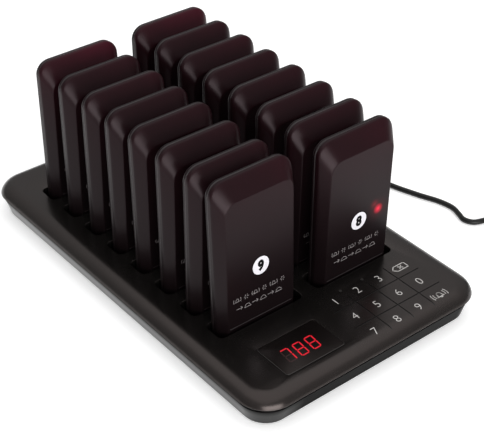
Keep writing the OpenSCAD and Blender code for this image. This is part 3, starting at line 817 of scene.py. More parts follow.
class Form:
    """A piece in the making: a bmesh in metres, shaped in millimetres.

    Distances at which points count as one are CUT_GAP in a cut, LEVEL_GAP in
    height and MERGE_GAP on a turned piece.
    """

    CUT_GAP = 0.0001
    LEVEL_GAP = 0.001
    MERGE_GAP = 0.002

    def __init__(self, corner_steps: int = 8) -> None:
        """Starts empty, with so many steps round each rounded corner."""
        self.bm = bmesh.new()
        self.corner_steps = corner_steps

    def plate(self, section: Section) -> bmesh.types.BMFace:
        """Adds a flat face with rounded corners.

        Args:
            section: Its outline.

        Returns:
            The face, which looks up.
        """
        before = set(self.bm.faces)
        verts = bmesh.ops.create_grid(self.bm, x_segments=1, y_segments=1, size=0.5)["verts"]
        bmesh.ops.scale(self.bm, vec=(section.width * MM, section.length * MM, 1.0), verts=verts)
        bmesh.ops.transform(self.bm, matrix=moved(section.x, section.y, section.z), verts=verts)
        if section.radius > 0:
            bmesh.ops.bevel(
                self.bm, geom=verts, offset=section.radius * MM, offset_type="OFFSET",
                segments=self.corner_steps, profile=0.5, affect="VERTICES", material=-1,
                clamp_overlap=True,
            )
        return next(f for f in self.bm.faces if f not in before)

    def slab(self, section: Section, thickness: float) -> "Form":
        """Stands a flat solid on an outline.

        Args:
            section: The outline.
            thickness: The solid's thickness.

        Returns:
            The form.
        """
        face = self.plate(section)
        made = bmesh.ops.extrude_face_region(self.bm, geom=[face])["geom"]
        top = [part for part in made if isinstance(part, bmesh.types.BMVert)]
        bmesh.ops.translate(self.bm, vec=(0, 0, thickness * MM), verts=top)
        return self.face_out(UP)

    def loft(self, sections: Sequence[Section], start_cap: bool = False, end_cap: bool = False) -> None:
        """Joins outlines with a skin.

        Args:
            sections: The outlines, in order.
            start_cap: Keeps the face on the first outline.
            end_cap: Keeps the face on the last outline.
        """
        rims = []
        last = len(sections) - 1
        for number, section in enumerate(sections):
            face = self.plate(section)
            rims.append(list(face.edges))
            if not (number == 0 and start_cap or number == last and end_cap):
                bmesh.ops.delete(self.bm, geom=[face], context="FACES_ONLY")
        for near, far in zip(rims, rims[1:]):
            bmesh.ops.bridge_loops(self.bm, edges=near + far)

    def block(self, sections: Sequence[Section]) -> "Form":
        """Adds a closed solid through outlines, the lowest first, and returns the form."""
        self.loft(sections, start_cap=True, end_cap=True)
        return self.face_out(UP)

    def lathe(self, profile: Sequence[Pair], steps: int = 40) -> None:
        """Turns a profile about the Z axis.

        Args:
            profile: Points as radius and height, from one end to the other.
            steps: Steps in the full turn.
        """
        verts = [self.bm.verts.new((r * MM, 0.0, z * MM)) for r, z in profile]
        edges = [self.bm.edges.new(pair) for pair in zip(verts, verts[1:])]
        bmesh.ops.spin(
            self.bm, geom=verts + edges, axis=UP, cent=(0, 0, 0), dvec=(0, 0, 0),
            angle=math.tau, steps=steps, use_merge=True, use_duplicate=False,
        )
        bmesh.ops.remove_doubles(self.bm, verts=self.bm.verts[:], dist=self.MERGE_GAP * MM)

    def cut(self, axis: Axis, place: float, faces: Iterable[bmesh.types.BMFace] | None = None) -> None:
        """Cuts faces along a plane, and keeps both sides.

        Args:
            axis: The axis that the plane stands across.
            place: Where it stands on the axis.
            faces: The faces, or None for all.
        """
        at, way = Vector(), Vector()
        at[axis], way[axis] = place * MM, 1.0
        chosen = list(self.bm.faces if faces is None else faces)
        edges = {e for f in chosen for e in f.edges}
        verts = {v for f in chosen for v in f.verts}
        geom = chosen + list(edges) + list(verts)
        bmesh.ops.bisect_plane(self.bm, geom=geom, dist=self.CUT_GAP * MM, plane_co=at, plane_no=way)

    def fill_level(self, z: float) -> None:
        """Fills the level ground between all open edges at a height.

        Args:
            z: The height.
        """
        rim = [
            e for e in self.bm.edges
            if len(e.link_faces) < 2 and all(abs(v.co.z - z * MM) < self.LEVEL_GAP * MM for v in e.verts)
        ]
        bmesh.ops.triangle_fill(self.bm, use_beauty=True, use_dissolve=False, edges=rim, normal=UP)

    def turn(self, matrix: Matrix) -> "Form":
        """Moves everything by a matrix, and returns the form."""
        bmesh.ops.transform(self.bm, matrix=matrix, verts=self.bm.verts[:])
        return self

    def face_out(self, towards: Point) -> "Form":
        """Makes the faces consistent, with the outermost one looking out.

        Args:
            towards: A direction in which the outermost face looks.

        Returns:
            The form.
        """
        bmesh.ops.recalc_face_normals(self.bm, faces=self.bm.faces[:])
        way = Vector(towards)
        squarely = 0.1 * MM  # how much a face that looks straight out is preferred
        outer = max(
            self.bm.faces,
            key=lambda f: f.calc_center_median().dot(way) + squarely * abs(f.normal.dot(way)),
        )
        if outer.normal.dot(way) < 0:
            bmesh.ops.reverse_faces(self.bm, faces=self.bm.faces[:])
        return self

    def add(self, mesh: Mesh, material: int = 0) -> None:
        """Adds a mesh to the form.

        Args:
            mesh: The mesh, which is then removed.
            material: The material number that its faces get.
        """
        before = len(self.bm.faces)
        self.bm.from_mesh(mesh)
        self.bm.faces.ensure_lookup_table()
        for face in self.bm.faces[before:]:
            face.material_index = material
        bpy.data.meshes.remove(mesh)

    def mesh(self, name: str) -> Mesh:
        """Ends the form, and returns it as a mesh."""
        made = bpy.data.meshes.new(name)
        self.bm.to_mesh(made)
        self.bm.free()
        return made


class Edge(Enum):
    """How a piece's edges are broken, as a width in millimetres."""

    NONE = 0.0
    FINE = 0.1


@dataclass
class Piece:
    """A finished piece and where it belongs.

    Attributes:
        name: Its name.
        body: The body it rides on.
        finishes: Its finishes, in the order of its material numbers.
        slot: The record's material slot, if it takes its finish from one; it is not used.
        replaces: The CAD nodes that it stands for.
        wall: Thickness of its wall, if it is a shell.
        edge: How its edges are broken.
        edge_angle: The angle, in degrees, from which an edge is broken.
        sharp: The angle, in degrees, from which an edge is shaded sharp.
    """

    name: str
    body: str
    finishes: Sequence[Finish]
    slot: str | None = None
    replaces: Sequence[str] = ()
    wall: float = 0.0
    edge: Edge = Edge.NONE
    edge_angle: float = 34.0
    sharp: float = 32.0

    def publish(self, shape: Form | Mesh) -> Object:
        """Makes the object, finishes its mesh and hands it to the frame.

        Args:
            shape: The form, or a mesh in the frame's own metres.

        Returns:
            The object.
        """
        mesh = shape.mesh(self.name) if isinstance(shape, Form) else shape
        mesh.name = self.name
        made = place_object(self.name, mesh)
        if self.wall:
            shell = made.modifiers.new("wall", "SOLIDIFY")
            shell.thickness = self.wall * MM
            shell.offset = -1.0
            shell.use_even_offset = True
            shell.thickness_clamp = 0.0
        if self.edge is not Edge.NONE:
            broken = made.modifiers.new("edge", "BEVEL")
            broken.width = self.edge.value * MM
            broken.segments = 2
            broken.limit_method = "ANGLE"
            broken.angle_limit = math.radians(self.edge_angle)
            broken.use_clamp_overlap = True
        if made.modifiers:
            settle(made)
        made.data.shade_smooth()
        made.data.set_sharp_from_angle(angle=math.radians(self.sharp))
        dress(made, *self.finishes)
        self.register(made)
        return made

    def register(self, made: Object) -> None:
        """Hands an object to the frame, on its body and in its nodes' place.

        Args:
            made: The object.
        """
        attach(made, self.body)
        if self.replaces:
            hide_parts(*self.replaces)
        log.info("%s rides on %s", self.name, self.body)


def place_object(name: str, data: bpy.types.ID) -> Object:
    """Returns a new object at the origin of the scene, with its data."""
    made = bpy.data.objects.new(name, data)
    bpy.context.scene.collection.objects.link(made)
    return made


def settle(made: Object) -> None:
    """Turns an object's modifiers into mesh.

    Args:
        made: The object.
    """
    graph = bpy.context.evaluated_depsgraph_get()
    mesh = bpy.data.meshes.new_from_object(made.evaluated_get(graph))
    made.modifiers.clear()
    old = made.data
    made.data = mesh
    bpy.data.meshes.remove(old)


def dress(made: Object, *finishes: Finish) -> None:
    """Gives an object its materials.

    Args:
        made: The object.
        finishes: Its finishes, in the order of its material numbers.
    """
    slots = made.data.materials
    if slots:
        slots.clear()
    for finish in finishes:
        slots.append(finish.material())


def numeral(text: str, height: float, weight: float, thickness: float) -> Mesh:
    """Makes a plain number, its middle at the origin, to be read along +X.

    Args:
        text: The digits.
        height: Height of a digit.
        weight: How far the strokes are thickened, as a share of the height.
        thickness: Thickness of the ink.

    Returns:
        The mesh, on the XY plane and above it.
    """
    digit_share = 0.73  # a digit's height, as a share of the font's size
    curve = bpy.data.curves.new("numeral", "FONT")
    curve.body = text
    curve.size = height * MM / digit_share
    curve.align_x = "CENTER"
    curve.offset = weight * height * MM
    curve.extrude = thickness * MM / 2
    curve.resolution_u = 6
    holder = place_object("holder", curve)
    graph = bpy.context.evaluated_depsgraph_get()
    graph.update()
    mesh = bpy.data.meshes.new_from_object(holder.evaluated_get(graph))
    bpy.data.objects.remove(holder)
    bpy.data.curves.remove(curve)
    xs, ys = ([v.co[axis] for v in mesh.vertices] for axis in (Axis.X, Axis.Y))
    middle = ((min(xs) + max(xs)) / 2, (min(ys) + max(ys)) / 2)
    mesh.transform(Matrix.Translation((-middle[0], -middle[1], thickness * MM / 2)))
    return mesh


# ---- studio


@dataclass(frozen=True)
class SoftBox:
    """A soft box, in metres.

    Attributes:
        name: Its name.
        place: Its middle.
        width: Its width.
        height: Its height.
        radiance: How bright its face is; 1 is a white floor in full light.
    """

    name: str
    place: Point
    width: float
    height: float
    radiance: float

    def hang(self, aim: Point) -> None:
        """Hangs it so that it looks at a point.

        Args:
            aim: The point.
        """
        light = bpy.data.lights.new(self.name, "AREA")
        light.shape = "RECTANGLE"
        light.size, light.size_y = self.width, self.height
        light.energy = self.radiance * math.pi * self.width * self.height
        box = place_object(self.name, light)
        turn = (Vector(aim) - Vector(self.place)).to_track_quat("-Z", "Y")
        box.matrix_world = Matrix.Translation(self.place) @ turn.to_matrix().to_4x4()


@dataclass
class Studio:
    """The camera at the photograph's angle, the pale floor and the soft lights, in metres.

    Attributes:
        eye: The camera's place.
        right: The camera's right-hand direction.
        up: The camera's upward direction.
        lens: Focal length in millimetres.
        sensor: Width of the camera's sensor in millimetres.
        shift: How far the frame is shifted.
        near: The nearest that the camera sees.
        floor_size: Size of the floor.
        floor_z: Height of the floor, a hair below the part.
        horizon: How bright the room is at the height of the horizon.
        ceiling: How much brighter it is straight above.
        aim: What the soft boxes look at.
        boxes: The soft boxes.
    """

    eye: Point = (-0.40428, -0.51070, 0.49510)
    right: Point = (0.77785, -0.62843, 0.00570)
    up: Point = (0.36110, 0.45436, 0.81435)
    lens: float = 97.72
    sensor: float = 36.0
    shift: Pair = (0.0049, -0.0017)
    near: float = 0.01
    floor_size: float = 8.0
    floor_z: float = -0.02 * MM
    horizon: float = 0.22
    ceiling: float = 0.62
    aim: Point = (0.0, 0.0, 0.05)
    boxes: Sequence[SoftBox] = (
        SoftBox("key_box", (-0.65, -1.83, 0.46), 1.9, 1.0, 6.4),
        SoftBox("top_box", (0.0, 0.0, 2.2), 3.6, 3.6, 0.6),
    )

    def set_camera(self) -> None:
        """Places the camera."""
        data = bpy.data.cameras.new("photo_camera")
        data.lens = self.lens
        data.sensor_width = self.sensor
        data.sensor_fit = "HORIZONTAL"
        data.shift_x, data.shift_y = self.shift
        data.clip_start = self.near
        camera = place_object("photo_camera", data)
        right, up = Vector(self.right).normalized(), Vector(self.up).normalized()
        turn = Matrix((right, up, right.cross(up))).transposed().to_4x4()
        camera.matrix_world = Matrix.Translation(self.eye) @ turn
        bpy.context.scene.camera = camera

    def set_floor(self) -> None:
        """Lays the floor."""
        form = Form()
        form.plate(Section(self.floor_size / MM, self.floor_size / MM, 0.0, self.floor_z / MM))
        floor = place_object("floor", form.mesh("floor"))
        dress(floor, FLOOR_WHITE)

    def set_lights(self) -> None:
        """Sets the dim surround and the soft boxes."""
        world = bpy.data.worlds.new("studio")
        bpy.context.scene.world = world
        world.use_nodes = True
        w = Wiring(world.node_tree)
        way = w.node("ShaderNodeTexCoord", {}, {}, "Generated")
        height = w.node("ShaderNodeSeparateXYZ", {}, {"Vector": way}, "Z").clamped()
        strength = height * self.ceiling + self.horizon
        room = w.node("ShaderNodeBackground", {}, {"Color": WHITE, "Strength": strength})
        w.node("ShaderNodeOutputWorld", {}, {"Surface": room})
        for box in self.boxes:
            box.hang(self.aim)
        bpy.context.scene.view_settings.view_transform = "Standard"


# ---- the power lead


def catmull(a: Vector, b: Vector, c: Vector, d: Vector, t: float) -> Vector:
    """Returns the point at t between b and c on the smooth curve through four points."""
    square = (2 * a - 5 * b + 4 * c - d) * t * t
    cube = (3 * b - a - 3 * c + d) * t ** 3
    return 0.5 * (2 * b + (c - a) * t + square + cube)


def smooth_route(points: Sequence[Vector], steps: int) -> list[Vector]:
    """Runs a smooth curve through route points.

    Args:
        points: The route.
        steps: Steps between two of its points.

    Returns:
        The points of the curve.
    """
    last = len(points) - 1
    made = []
    for i in range(last):
        near, far = points[max(i - 1, 0)], points[min(i + 2, last)]
        made += [catmull(near, points[i], points[i + 1], far, k / steps) for k in range(steps)]
    return made + [points[last]]


@dataclass
class PowerLead:
    """The lead from the plug at the back, over the floor and into its coil.

    Attributes:
        diameter: The lead's diameter.
        jack: Middle of the inlet, across and up.
        plug_start: Where the plug's body starts, along Y.
        barrel: Radius and length of the plug's metal barrel.
        body_length: Length of the plug's body.
        body_radius: Radius of the plug's body.
        grip: Width and depth of the plug's flat finger rests.
        relief_length: Length of the plug's strain relief.
        relief_radius: Radius of the relief where it leaves the body.
        relief_wall: A relief's wall at its tip.
        ribs: Ribs on the plug's relief and on the adapter's.
        route: The lead's way to its coil.
        lead_in: From the route's end to the coil's middle, across.
        turns: Turns of the coil.
        turn_mid: The turn at which the spiral reverses.
        climb: Turns over which it climbs to the upper layer.
        pitch: Distance from turn to turn.
        layer: Rise from layer to layer.
        least_radius: Radius of the smallest turn.
        adapter: Length, width and height of the wall adapter.
        adapter_gap: Distance from the coil to the adapter.
        adapter_corner: The adapter's corner radius.
        adapter_relief: Length of its strain relief.
        adapter_foot: Inset and height of its rounded foot's steps.
        adapter_crown: The same of its rounded top, from the top down.
        seam: Height of its parting line, as a share.
        seam_groove: Depth and half the width of that line.
        blade: Width, thickness and length of an adapter pin.
        blade_gap: Distance between the pins.
    """

    diameter: float = 3.6
    jack: Pair = (50.0, 9.4)
    plug_start: float = 136.3
    barrel: Pair = (2.75, 9.0)
    body_length: float = 18.0
    body_radius: float = 5.2
    grip: Pair = (0.5, 0.35)
    relief_length: float = 20.0
    relief_radius: float = 3.6
    relief_wall: float = 0.5
    ribs: tuple[int, int] = (6, 4)
    route: Sequence[Point] = (
        (50, 174.3, 9.4), (50, 178.3, 9.4), (51, 185, 7.4), (56, 197, 3.6),
        (66, 206, 1.8), (80, 209, 1.8), (94, 203, 1.8), (105, 190, 1.8),
        (113, 170, 1.8), (119, 142, 1.8), (123, 108, 1.8), (126, 70, 1.8),
        (129, 34, 1.8), (133, -4, 1.8), (140, -28, 1.8), (145.5, -42, 1.8),
        (147.5, -53, 1.8), (145.5, -61, 1.8), (143.5, -67.5, 1.8),
        (146.5, -73.5, 1.8), (154, -76.5, 1.8), (162, -80, 1.8),
        (168, -82, 1.8), (172, -82, 1.8),
    )
    lead_in: float = 4.0
    turns: float = 6.0
    turn_mid: float = 3.25
    climb: float = 0.5
    pitch: float = 4.2
    layer: float = 4.2
    least_radius: float = 14.3
    adapter: Point = (58.0, 40.0, 27.0)
    adapter_gap: float = 21.0
    adapter_corner: float = 5.0
    adapter_relief: float = 12.0
    adapter_foot: Sequence[Pair] = ((1.6, 0.0), (0.7, 0.35), (0.15, 1.1), (0.0, 2.0))
    adapter_crown: Sequence[Pair] = ((0.0, 3.4), (0.2, 2.0), (0.9, 0.8), (1.5, 0.2), (2.2, 0.0))
    seam: float = 0.62
    seam_groove: Pair = (0.45, 0.3)
    blade: Point = (6.4, 1.6, 17.0)
    blade_gap: float = 12.7

    @property
    def radius(self) -> float:
        """Returns the lead's radius."""
        return self.diameter / 2

    @property
    def centre(self) -> Pair:
        """Returns the coil's middle."""
        x, y, _ = self.route[-1]
        return x + self.lead_in, y - self.reach(0.0)

    @property
    def adapter_place(self) -> Point:
        """Returns where the lead meets the adapter's near face."""
        x, y = self.centre
        over = self.radius + self.layer + 1.0
        return x + self.reach(0.0) + self.adapter_gap, y + self.reach(self.turns), over

    def reach(self, turn: float) -> float:
        """Returns the coil's radius at a turn."""
        return self.least_radius + self.pitch * abs(turn - self.turn_mid)

    def coil(self, per_turn: int = 36) -> list[Vector]:
        """Returns the coil's middle line, clockwise in and out again."""
        made = []
        for i in range(int(self.turns * per_turn) + 1):
            turn = i / per_turn
            angle = math.pi / 2 - math.tau * turn
            u = min(max((turn - self.turn_mid) / self.climb + 0.5, 0.0), 1.0)
            x = self.centre[0] + self.reach(turn) * math.cos(angle)
            y = self.centre[1] + self.reach(turn) * math.sin(angle)
            made.append(Vector((x, y, self.radius + self.layer * u * u * (3 - 2 * u))))
        return made

    def tail(self) -> list[Vector]:
        """Returns the last straight stretch, from the coil into the adapter."""
        start = self.centre[0]
        x, y, z = self.adapter_place
        return [
            Vector((start + 10, y, z - 0.8)),
            Vector((start + 20, y, z - 0.3)),
            Vector((x - self.adapter_relief - self.diameter - 1, y, z)),
            Vector((x + 3, y, z)),
        ]

    def lay_lead(self) -> tuple[Object, float]:
        """Lays the lead as one curve.

        Returns:
            The curve's object and its length in metres.
        """
        way = smooth_route([Vector(p) for p in self.route], 6) + self.coil() + self.tail()
        curve = bpy.data.curves.new("power_lead", "CURVE")
        curve.dimensions = "3D"
        curve.bevel_depth = self.radius * MM
        curve.bevel_resolution = 4
        curve.use_fill_caps = True
        spline = curve.splines.new("POLY")
        spline.points.add(len(way) - 1)
        for point, spot in zip(spline.points, way):
            point.co = (*(spot * MM), 1.0)
        curve.materials.append(LEAD_JACKET.material())
        length = sum((b - a).length for a, b in zip(way, way[1:])) * MM
        return place_object("power_lead", curve), length

    def make_plug(self) -> Object:
        """Makes the barrel plug with its ribbed strain relief.

        Returns:
            The plug's object.
        """
        (pin, deep), body, relief = self.barrel, self.body_length, self.relief_length
        wide, root, tip = self.body_radius, self.relief_radius, self.radius + self.relief_wall
        end = body + relief
        ribs = self.ribs[0]
        profile = [(0.0, -deep), (pin - 0.65, -deep), (pin, 0.4 - deep), (pin, 0.0)]
        profile += [(wide - 0.6, 0.0), (wide - 0.2, 0.15), (wide, 0.6)]
        profile += [(wide, body - 1.2), (wide - 0.3, body - 0.4), (wide - 0.9, body)]
        for rib in range(ribs):
            near = body + relief * (rib + 0.15) / ribs
            here = root + (tip - root) * rib / ribs
            profile += [(here - 0.45, near), (here - 0.45, near + 0.9), (here, near + 1.1)]
            profile += [(here, near + relief / ribs - 0.7)]
        profile += [(tip, end - 0.2), (tip - 0.2, end), (0.0, end)]
        form = Form()
        form.lathe(profile)
        sides = [
            f for f in form.bm.faces
            if 2 < f.calc_center_median().z / MM < body - 2 and abs(f.normal.z) < 0.1
            and abs(f.calc_center_median().x) / MM > 0.82 * wide
        ]
        across, sunk = self.grip
        bmesh.ops.inset_region(
            form.bm, faces=sides, thickness=across * MM, depth=-sunk * MM, use_even_offset=True
        )
        form.face_out(UP)
        form.turn(moved(self.jack[0], self.plug_start, self.jack[1]) @ turned(-90, Axis.X))
        piece = Piece("plug", BASE, [CONNECTOR_BLACK], "connector_black", ["dc_plug"])
        return piece.publish(form)

    def adapter_relief_mesh(self) -> Mesh:
        """Returns the adapter's strain relief, in its place."""
        tip, root, long = self.radius + self.relief_wall, self.relief_radius + 0.4, self.adapter_relief
        ribs = self.ribs[1]
        rings = [(0.0, 0.0), (tip - 0.15, 0.0), (tip, 0.3)]
        for rib in range(ribs):
            near = long * (rib + 0.3) / ribs
            here = tip + (root - tip) * (rib + 1) / ribs
            rings += [(here, near), (here, near + 1.4), (here - 0.4, near + 1.6), (here - 0.4, near + 2.3)]
        rings += [(root, long), (root, long + 1.0), (0.0, long + 1.0)]
        form = Form()
        form.lathe(rings)
        form.face_out(DOWN)
        x, y, z = self.adapter_place
        return form.turn(moved(x - long, y, z) @ turned(90, Axis.Y)).mesh("relief")

    def make_adapter(self) -> Object:
        """Makes the wall adapter, its parting line and its strain relief.

        Returns:
            The adapter's object.
        """
        long, wide, high = self.adapter
        x, y, _ = self.adapter_place
        full = Section(long, wide, self.adapter_corner, 0.0, x + long / 2, y)
        deep, half = self.seam_groove
        low, up, slant = high * self.seam - half, high * self.seam + half, 0.05
        levels = [*self.adapter_foot, (0.0, low), (deep, low + slant), (deep, up - slant), (0.0, up)]
        levels += [(inset, high - down) for inset, down in self.adapter_crown]
        form = Form().block([full.inset(inset, z) for inset, z in levels])
        form.add(self.adapter_relief_mesh())
        piece = Piece("adapter", BASE, [ADAPTER_BLACK], "adapter_black", ["power_adapter"])
        return piece.publish(form)

    def make_pins(self) -> Object:
        """Makes the adapter's two flat pins with rounded tips.

        Returns:
            The pins' object.
        """
        wide, thick, long = self.blade
        x, y, _ = self.adapter_place
        foot, tip = self.adapter[2], self.adapter[2] + long
        form = Form(3)
        for side in (-1, 1):
            full = Section(wide, thick, 0.3, 0.0, x + self.adapter[0] / 2, y + side * self.blade_gap / 2)
            levels = [(0.0, foot), (0.0, tip - 1.6), (0.25, tip - 0.6), (0.6, tip)]
            form.block([full.inset(inset, z) for inset, z in levels])
        piece = Piece("adapter_blades", BASE, [PIN_NICKEL], "pin_metal", ["adapter_pins"], edge=Edge.FINE)
        return piece.publish(form)

    def build(self) -> None:
        """Makes the lead and everything on it."""
        lead, length = self.lay_lead()
        on_it = [self.make_plug(), self.make_adapter(), self.make_pins()]
        Piece("power_lead", BASE, [], "lead_black", ["power_cord", "power_cord_coil"]).register(lead)
        log.info("the lead is %.3f m long", length)


# ---- printed signs


SIGN_STROKE = 0.55


def stroke(form: Form, points: Sequence[Pair], width: float, ink: float, closed: bool = False) -> None:
    """Draws a line of ink through points.

    Args:
        form: The form that gets the line.
        points: The line's points.
        width: The line's width.
        ink: The ink's thickness.
        closed: Joins the last point to the first.
    """
    round_end, overlap = 0.45, 0.9  # as shares of the width
    spots = list(points) + ([points[0]] if closed else [])
    for (x1, y1), (x2, y2) in zip(spots, spots[1:]):
        long = math.hypot(x2 - x1, y2 - y1) + width * overlap
        bar = Form(2).slab(Section(long, width, width * round_end, 0.0), ink)
        angle = math.degrees(math.atan2(y2 - y1, x2 - x1))
        bar.turn(moved((x1 + x2) / 2, (y1 + y2) / 2, 0.0) @ turned(angle, Axis.Z))
        form.add(bar.mesh("bar"))


def spoke(centre: Pair, radius: float, degrees: float) -> Pair:
    """Returns the point at a distance and an angle from a centre."""
    a = math.radians(degrees)
    return centre[0] + radius * math.cos(a), centre[1] + radius * math.sin(a)


def arc(centre: Pair, radius: float, start: float, end: float, steps: int = 6) -> list[Pair]:
    """Returns points on an arc, its angles in degrees."""
    return [spoke(centre, radius, start + (end - start) * i / steps) for i in range(steps + 1)]


def erase_sign(ink: float) -> Mesh:
    """Draws a plain rub-out sign: a tab that points left, with a cross in it."""
    tab = [(-5.4, 0), (-3.0, 2.3), (5.2, 2.3), (5.2, -2.3), (-3.0, -2.3)]
    form = Form()
    stroke(form, tab, SIGN_STROKE, ink, closed=True)
    for rise in (1.1, -1.1):
        stroke(form, [(-0.6, rise), (2.0, -rise)], SIGN_STROKE, ink)
    return form.mesh("erase_sign")


def bell_outline(scale: float, x: float, y: float) -> list[Pair]:
    """Returns the outline of a hand bell, scaled and moved."""
    dome = arc((0.0, 0.4), 1.5, 0, 180, 8)
    points = [(2.4, -1.5), (1.6, -0.8)] + dome + [(-1.6, -0.8), (-2.4, -1.5)]
    return [(x + scale * px, y + scale * py) for px, py in points]


def bell_sign(ink: float) -> Mesh:
    """Draws a plain ringing bell with two arcs on each side."""
    form = Form()
    stroke(form, bell_outline(1.05, 0, 0.1), SIGN_STROKE, ink, closed=True)
    stroke(form, [(-0.4, -2.3), (0.4, -2.3)], 0.6, ink)
    for side in (0, 180):
        for reach in (4.0, 5.6):
            stroke(form, arc((0, 0.2), reach, side - 24, side + 24, 4), 0.5, ink)
    return form.mesh("bell_sign")


# ---- the base


def disc(across: float, z: float, middle: Pair) -> Section:
    """Returns a round outline."""
    return Section(across, across, across * 0.499, z, *middle)


@dataclass
class BaseSizes:
    """The base's sizes in millimetres, as in the part's source."""

    width: float = 170.0
    length: float = 275.0
    top: float = 21.0
    corner: float = 19.0
    wall: float = 2.2
    shoulder_reach: float = 10.0
    shoulder_drop: float = 4.6
    rim_band: float = 2.0
    joint: float = 0.5
    lower_step: float = 1.2
    foot_inset: float = 4.5
    foot_height: float = 1.0
    foot_radius: float = 6.0
    slot_pitch: float = 24.4
    column: float = 35.5
    first_slot: float = 65.3
    slot_width: float = 60.0
    slot_depth: float = 14.6
    slot_corner: float = 3.0
    well_floor: float = 7.6
    rows: int = 8

    def slot_y(self, row: float) -> float:
        """Returns the middle of a row of slots along Y."""
        return self.first_slot - self.length / 2 + row * self.slot_pitch

    def outline(self, inset: float, z: float) -> Section:
        """Returns the base's outline, drawn in and at a height."""
        return Section(self.width, self.length, self.corner, 0.0).inset(inset, z)


@dataclass
class Keypad:
    """The grooves, the printed legends and the two status lights.

    Attributes:
        sizes: The base's sizes.
        middle: Middle of the keypad, across and along.
        pitch: Distance from key to key, across and along.
        groove: Width and depth of a groove.
        stub: How far the grooves run past the outer crossings.
        short: How much less far the grooves along Y run.
        shorter: How much sooner those beside the lights end at the back.
        least_depth: The least that a groove sinks in.
        legend_middle: Middle of the printed legends, across and along.
        legend_pitch: Distance from legend to legend, across and along.
        legend_height: Height of a digit.
        legend_weight: How far its strokes are thickened, as a share.
        ink: Thickness of the ink.
        light_radius: Radius of a status light.
        light_row: Where the lights lie behind the middle, in keys.
    """

    sizes: BaseSizes
    middle: Pair = (31.5, -110.2)
    pitch: Pair = (17.0, 16.9)
    groove: Pair = (0.7, 0.4)
    stub: float = 16.5
    short: float = 3.6
    shorter: float = 4.0
    least_depth: float = 0.03
    legend_middle: Pair = (31.1, -110.8)
    legend_pitch: Pair = (17.0, 16.35)
    legend_height: float = 6.0
    legend_weight: float = -0.022
    ink: float = 0.06
    light_radius: float = 0.9
    light_row: float = 1.25

    def lights(self) -> list[Pair]:
        """Returns the middles of the two status lights."""
        y = self.middle[1] + self.light_row * self.pitch[1]
        return [(self.middle[0] + i * self.pitch[0], y) for i in (-1, 0)]

    def grooves(self) -> list[tuple[float, float, float, float]]:
        """Returns each groove as its lowest and highest x and y."""
        half = self.groove[0] / 2
        reach_x = self.pitch[0] + self.stub
        reach_y = self.pitch[1] / 2 + self.stub - self.short
        x0, y0 = self.middle
        made = []
        for j in (-1, 1):
            y = y0 + j * self.pitch[1] / 2
            made.append((x0 - reach_x, x0 + reach_x, y - half, y + half))
        for i in (-1, 0, 1):
            x = x0 + i * self.pitch[0]
            end = y0 + reach_y - (self.shorter if i < 1 else 0.0)
            made.append((x - half, x + half, y0 - reach_y, end))
        return made

    def in_groove(self, at: Vector) -> bool:
        """Says whether a point lies in one of the grooves."""
        x, y = at.x / MM, at.y / MM
        return any(a < x < b and c < y < d for a, b, c, d in self.grooves())

    def cut_grooves(self, form: Form) -> None:
        """Cuts the top along the grooves and sinks what lies in them to one level.

        Args:
            form: The top shell.
        """
        floor = (self.sizes.top - self.groove[1]) * MM
        strips = self.grooves()
        ends = enumerate((min, max, min, max))
        left, right, front, back = (end(s[i] for s in strips) * MM for i, end in ends)
        upward, below = 0.3, 0.6 * MM

        def near() -> list[bmesh.types.BMFace]:
            """Returns the faces over the keypad that the grooves may cross."""
            return [
                f for f in form.bm.faces
                if f.normal.z > upward and min(v.co.z for v in f.verts) > floor - below
                and min(v.co.x for v in f.verts) < right and max(v.co.x for v in f.verts) > left
                and min(v.co.y for v in f.verts) < back and max(v.co.y for v in f.verts) > front
            ]

        sides = (Axis.X, Axis.X, Axis.Y, Axis.Y)
        for place, axis in sorted({(place, axis) for s in strips for place, axis in zip(s, sides)}):
            form.cut(axis, place, near())
            form.bm.normal_update()
        sunk = [f for f in near() if self.in_groove(f.calc_center_median())]
        for part in bmesh.ops.extrude_face_region(form.bm, geom=sunk)["geom"]:
            if isinstance(part, bmesh.types.BMVert):
                part.co.z = min(floor, part.co.z - self.least_depth * MM)
            elif isinstance(part, bmesh.types.BMFace):
                part.material_index = 1
        bmesh.ops.delete(form.bm, geom=sunk, context="FACES_ONLY")

    def build(self) -> None:
        """Prints the ten digits and the two plain signs on the keys."""
        form = Form()
        keys = [(digit, i % 3, i // 3) for i, digit in enumerate("123456789")] + [("0", 3, 1)]
        for digit, column, row in keys:
            mesh = numeral(digit, self.legend_height, self.legend_weight, self.ink)
            self._print(form, mesh, column, row)
        self._print(form, erase_sign(self.ink), 3, 0)
        self._print(form, bell_sign(self.ink), 3, 2)
        Piece("key_legends", BASE, [WHITE_INK]).publish(form)

    def _print(self, form: Form, mesh: Mesh, column: int, row: int) -> None:
        """Sets a legend on its key.

        Args:
            form: The form that holds the legends.
            mesh: The legend, its middle at the origin.
            column: The key's column, from the left.
            row: The key's row, from the back.
        """
        x = self.legend_middle[0] + (column - 1.5) * self.legend_pitch[0]
        y = self.legend_middle[1] + (1 - row) * self.legend_pitch[1]
        mesh.transform(moved(x, y, self.sizes.top))
        form.add(mesh)


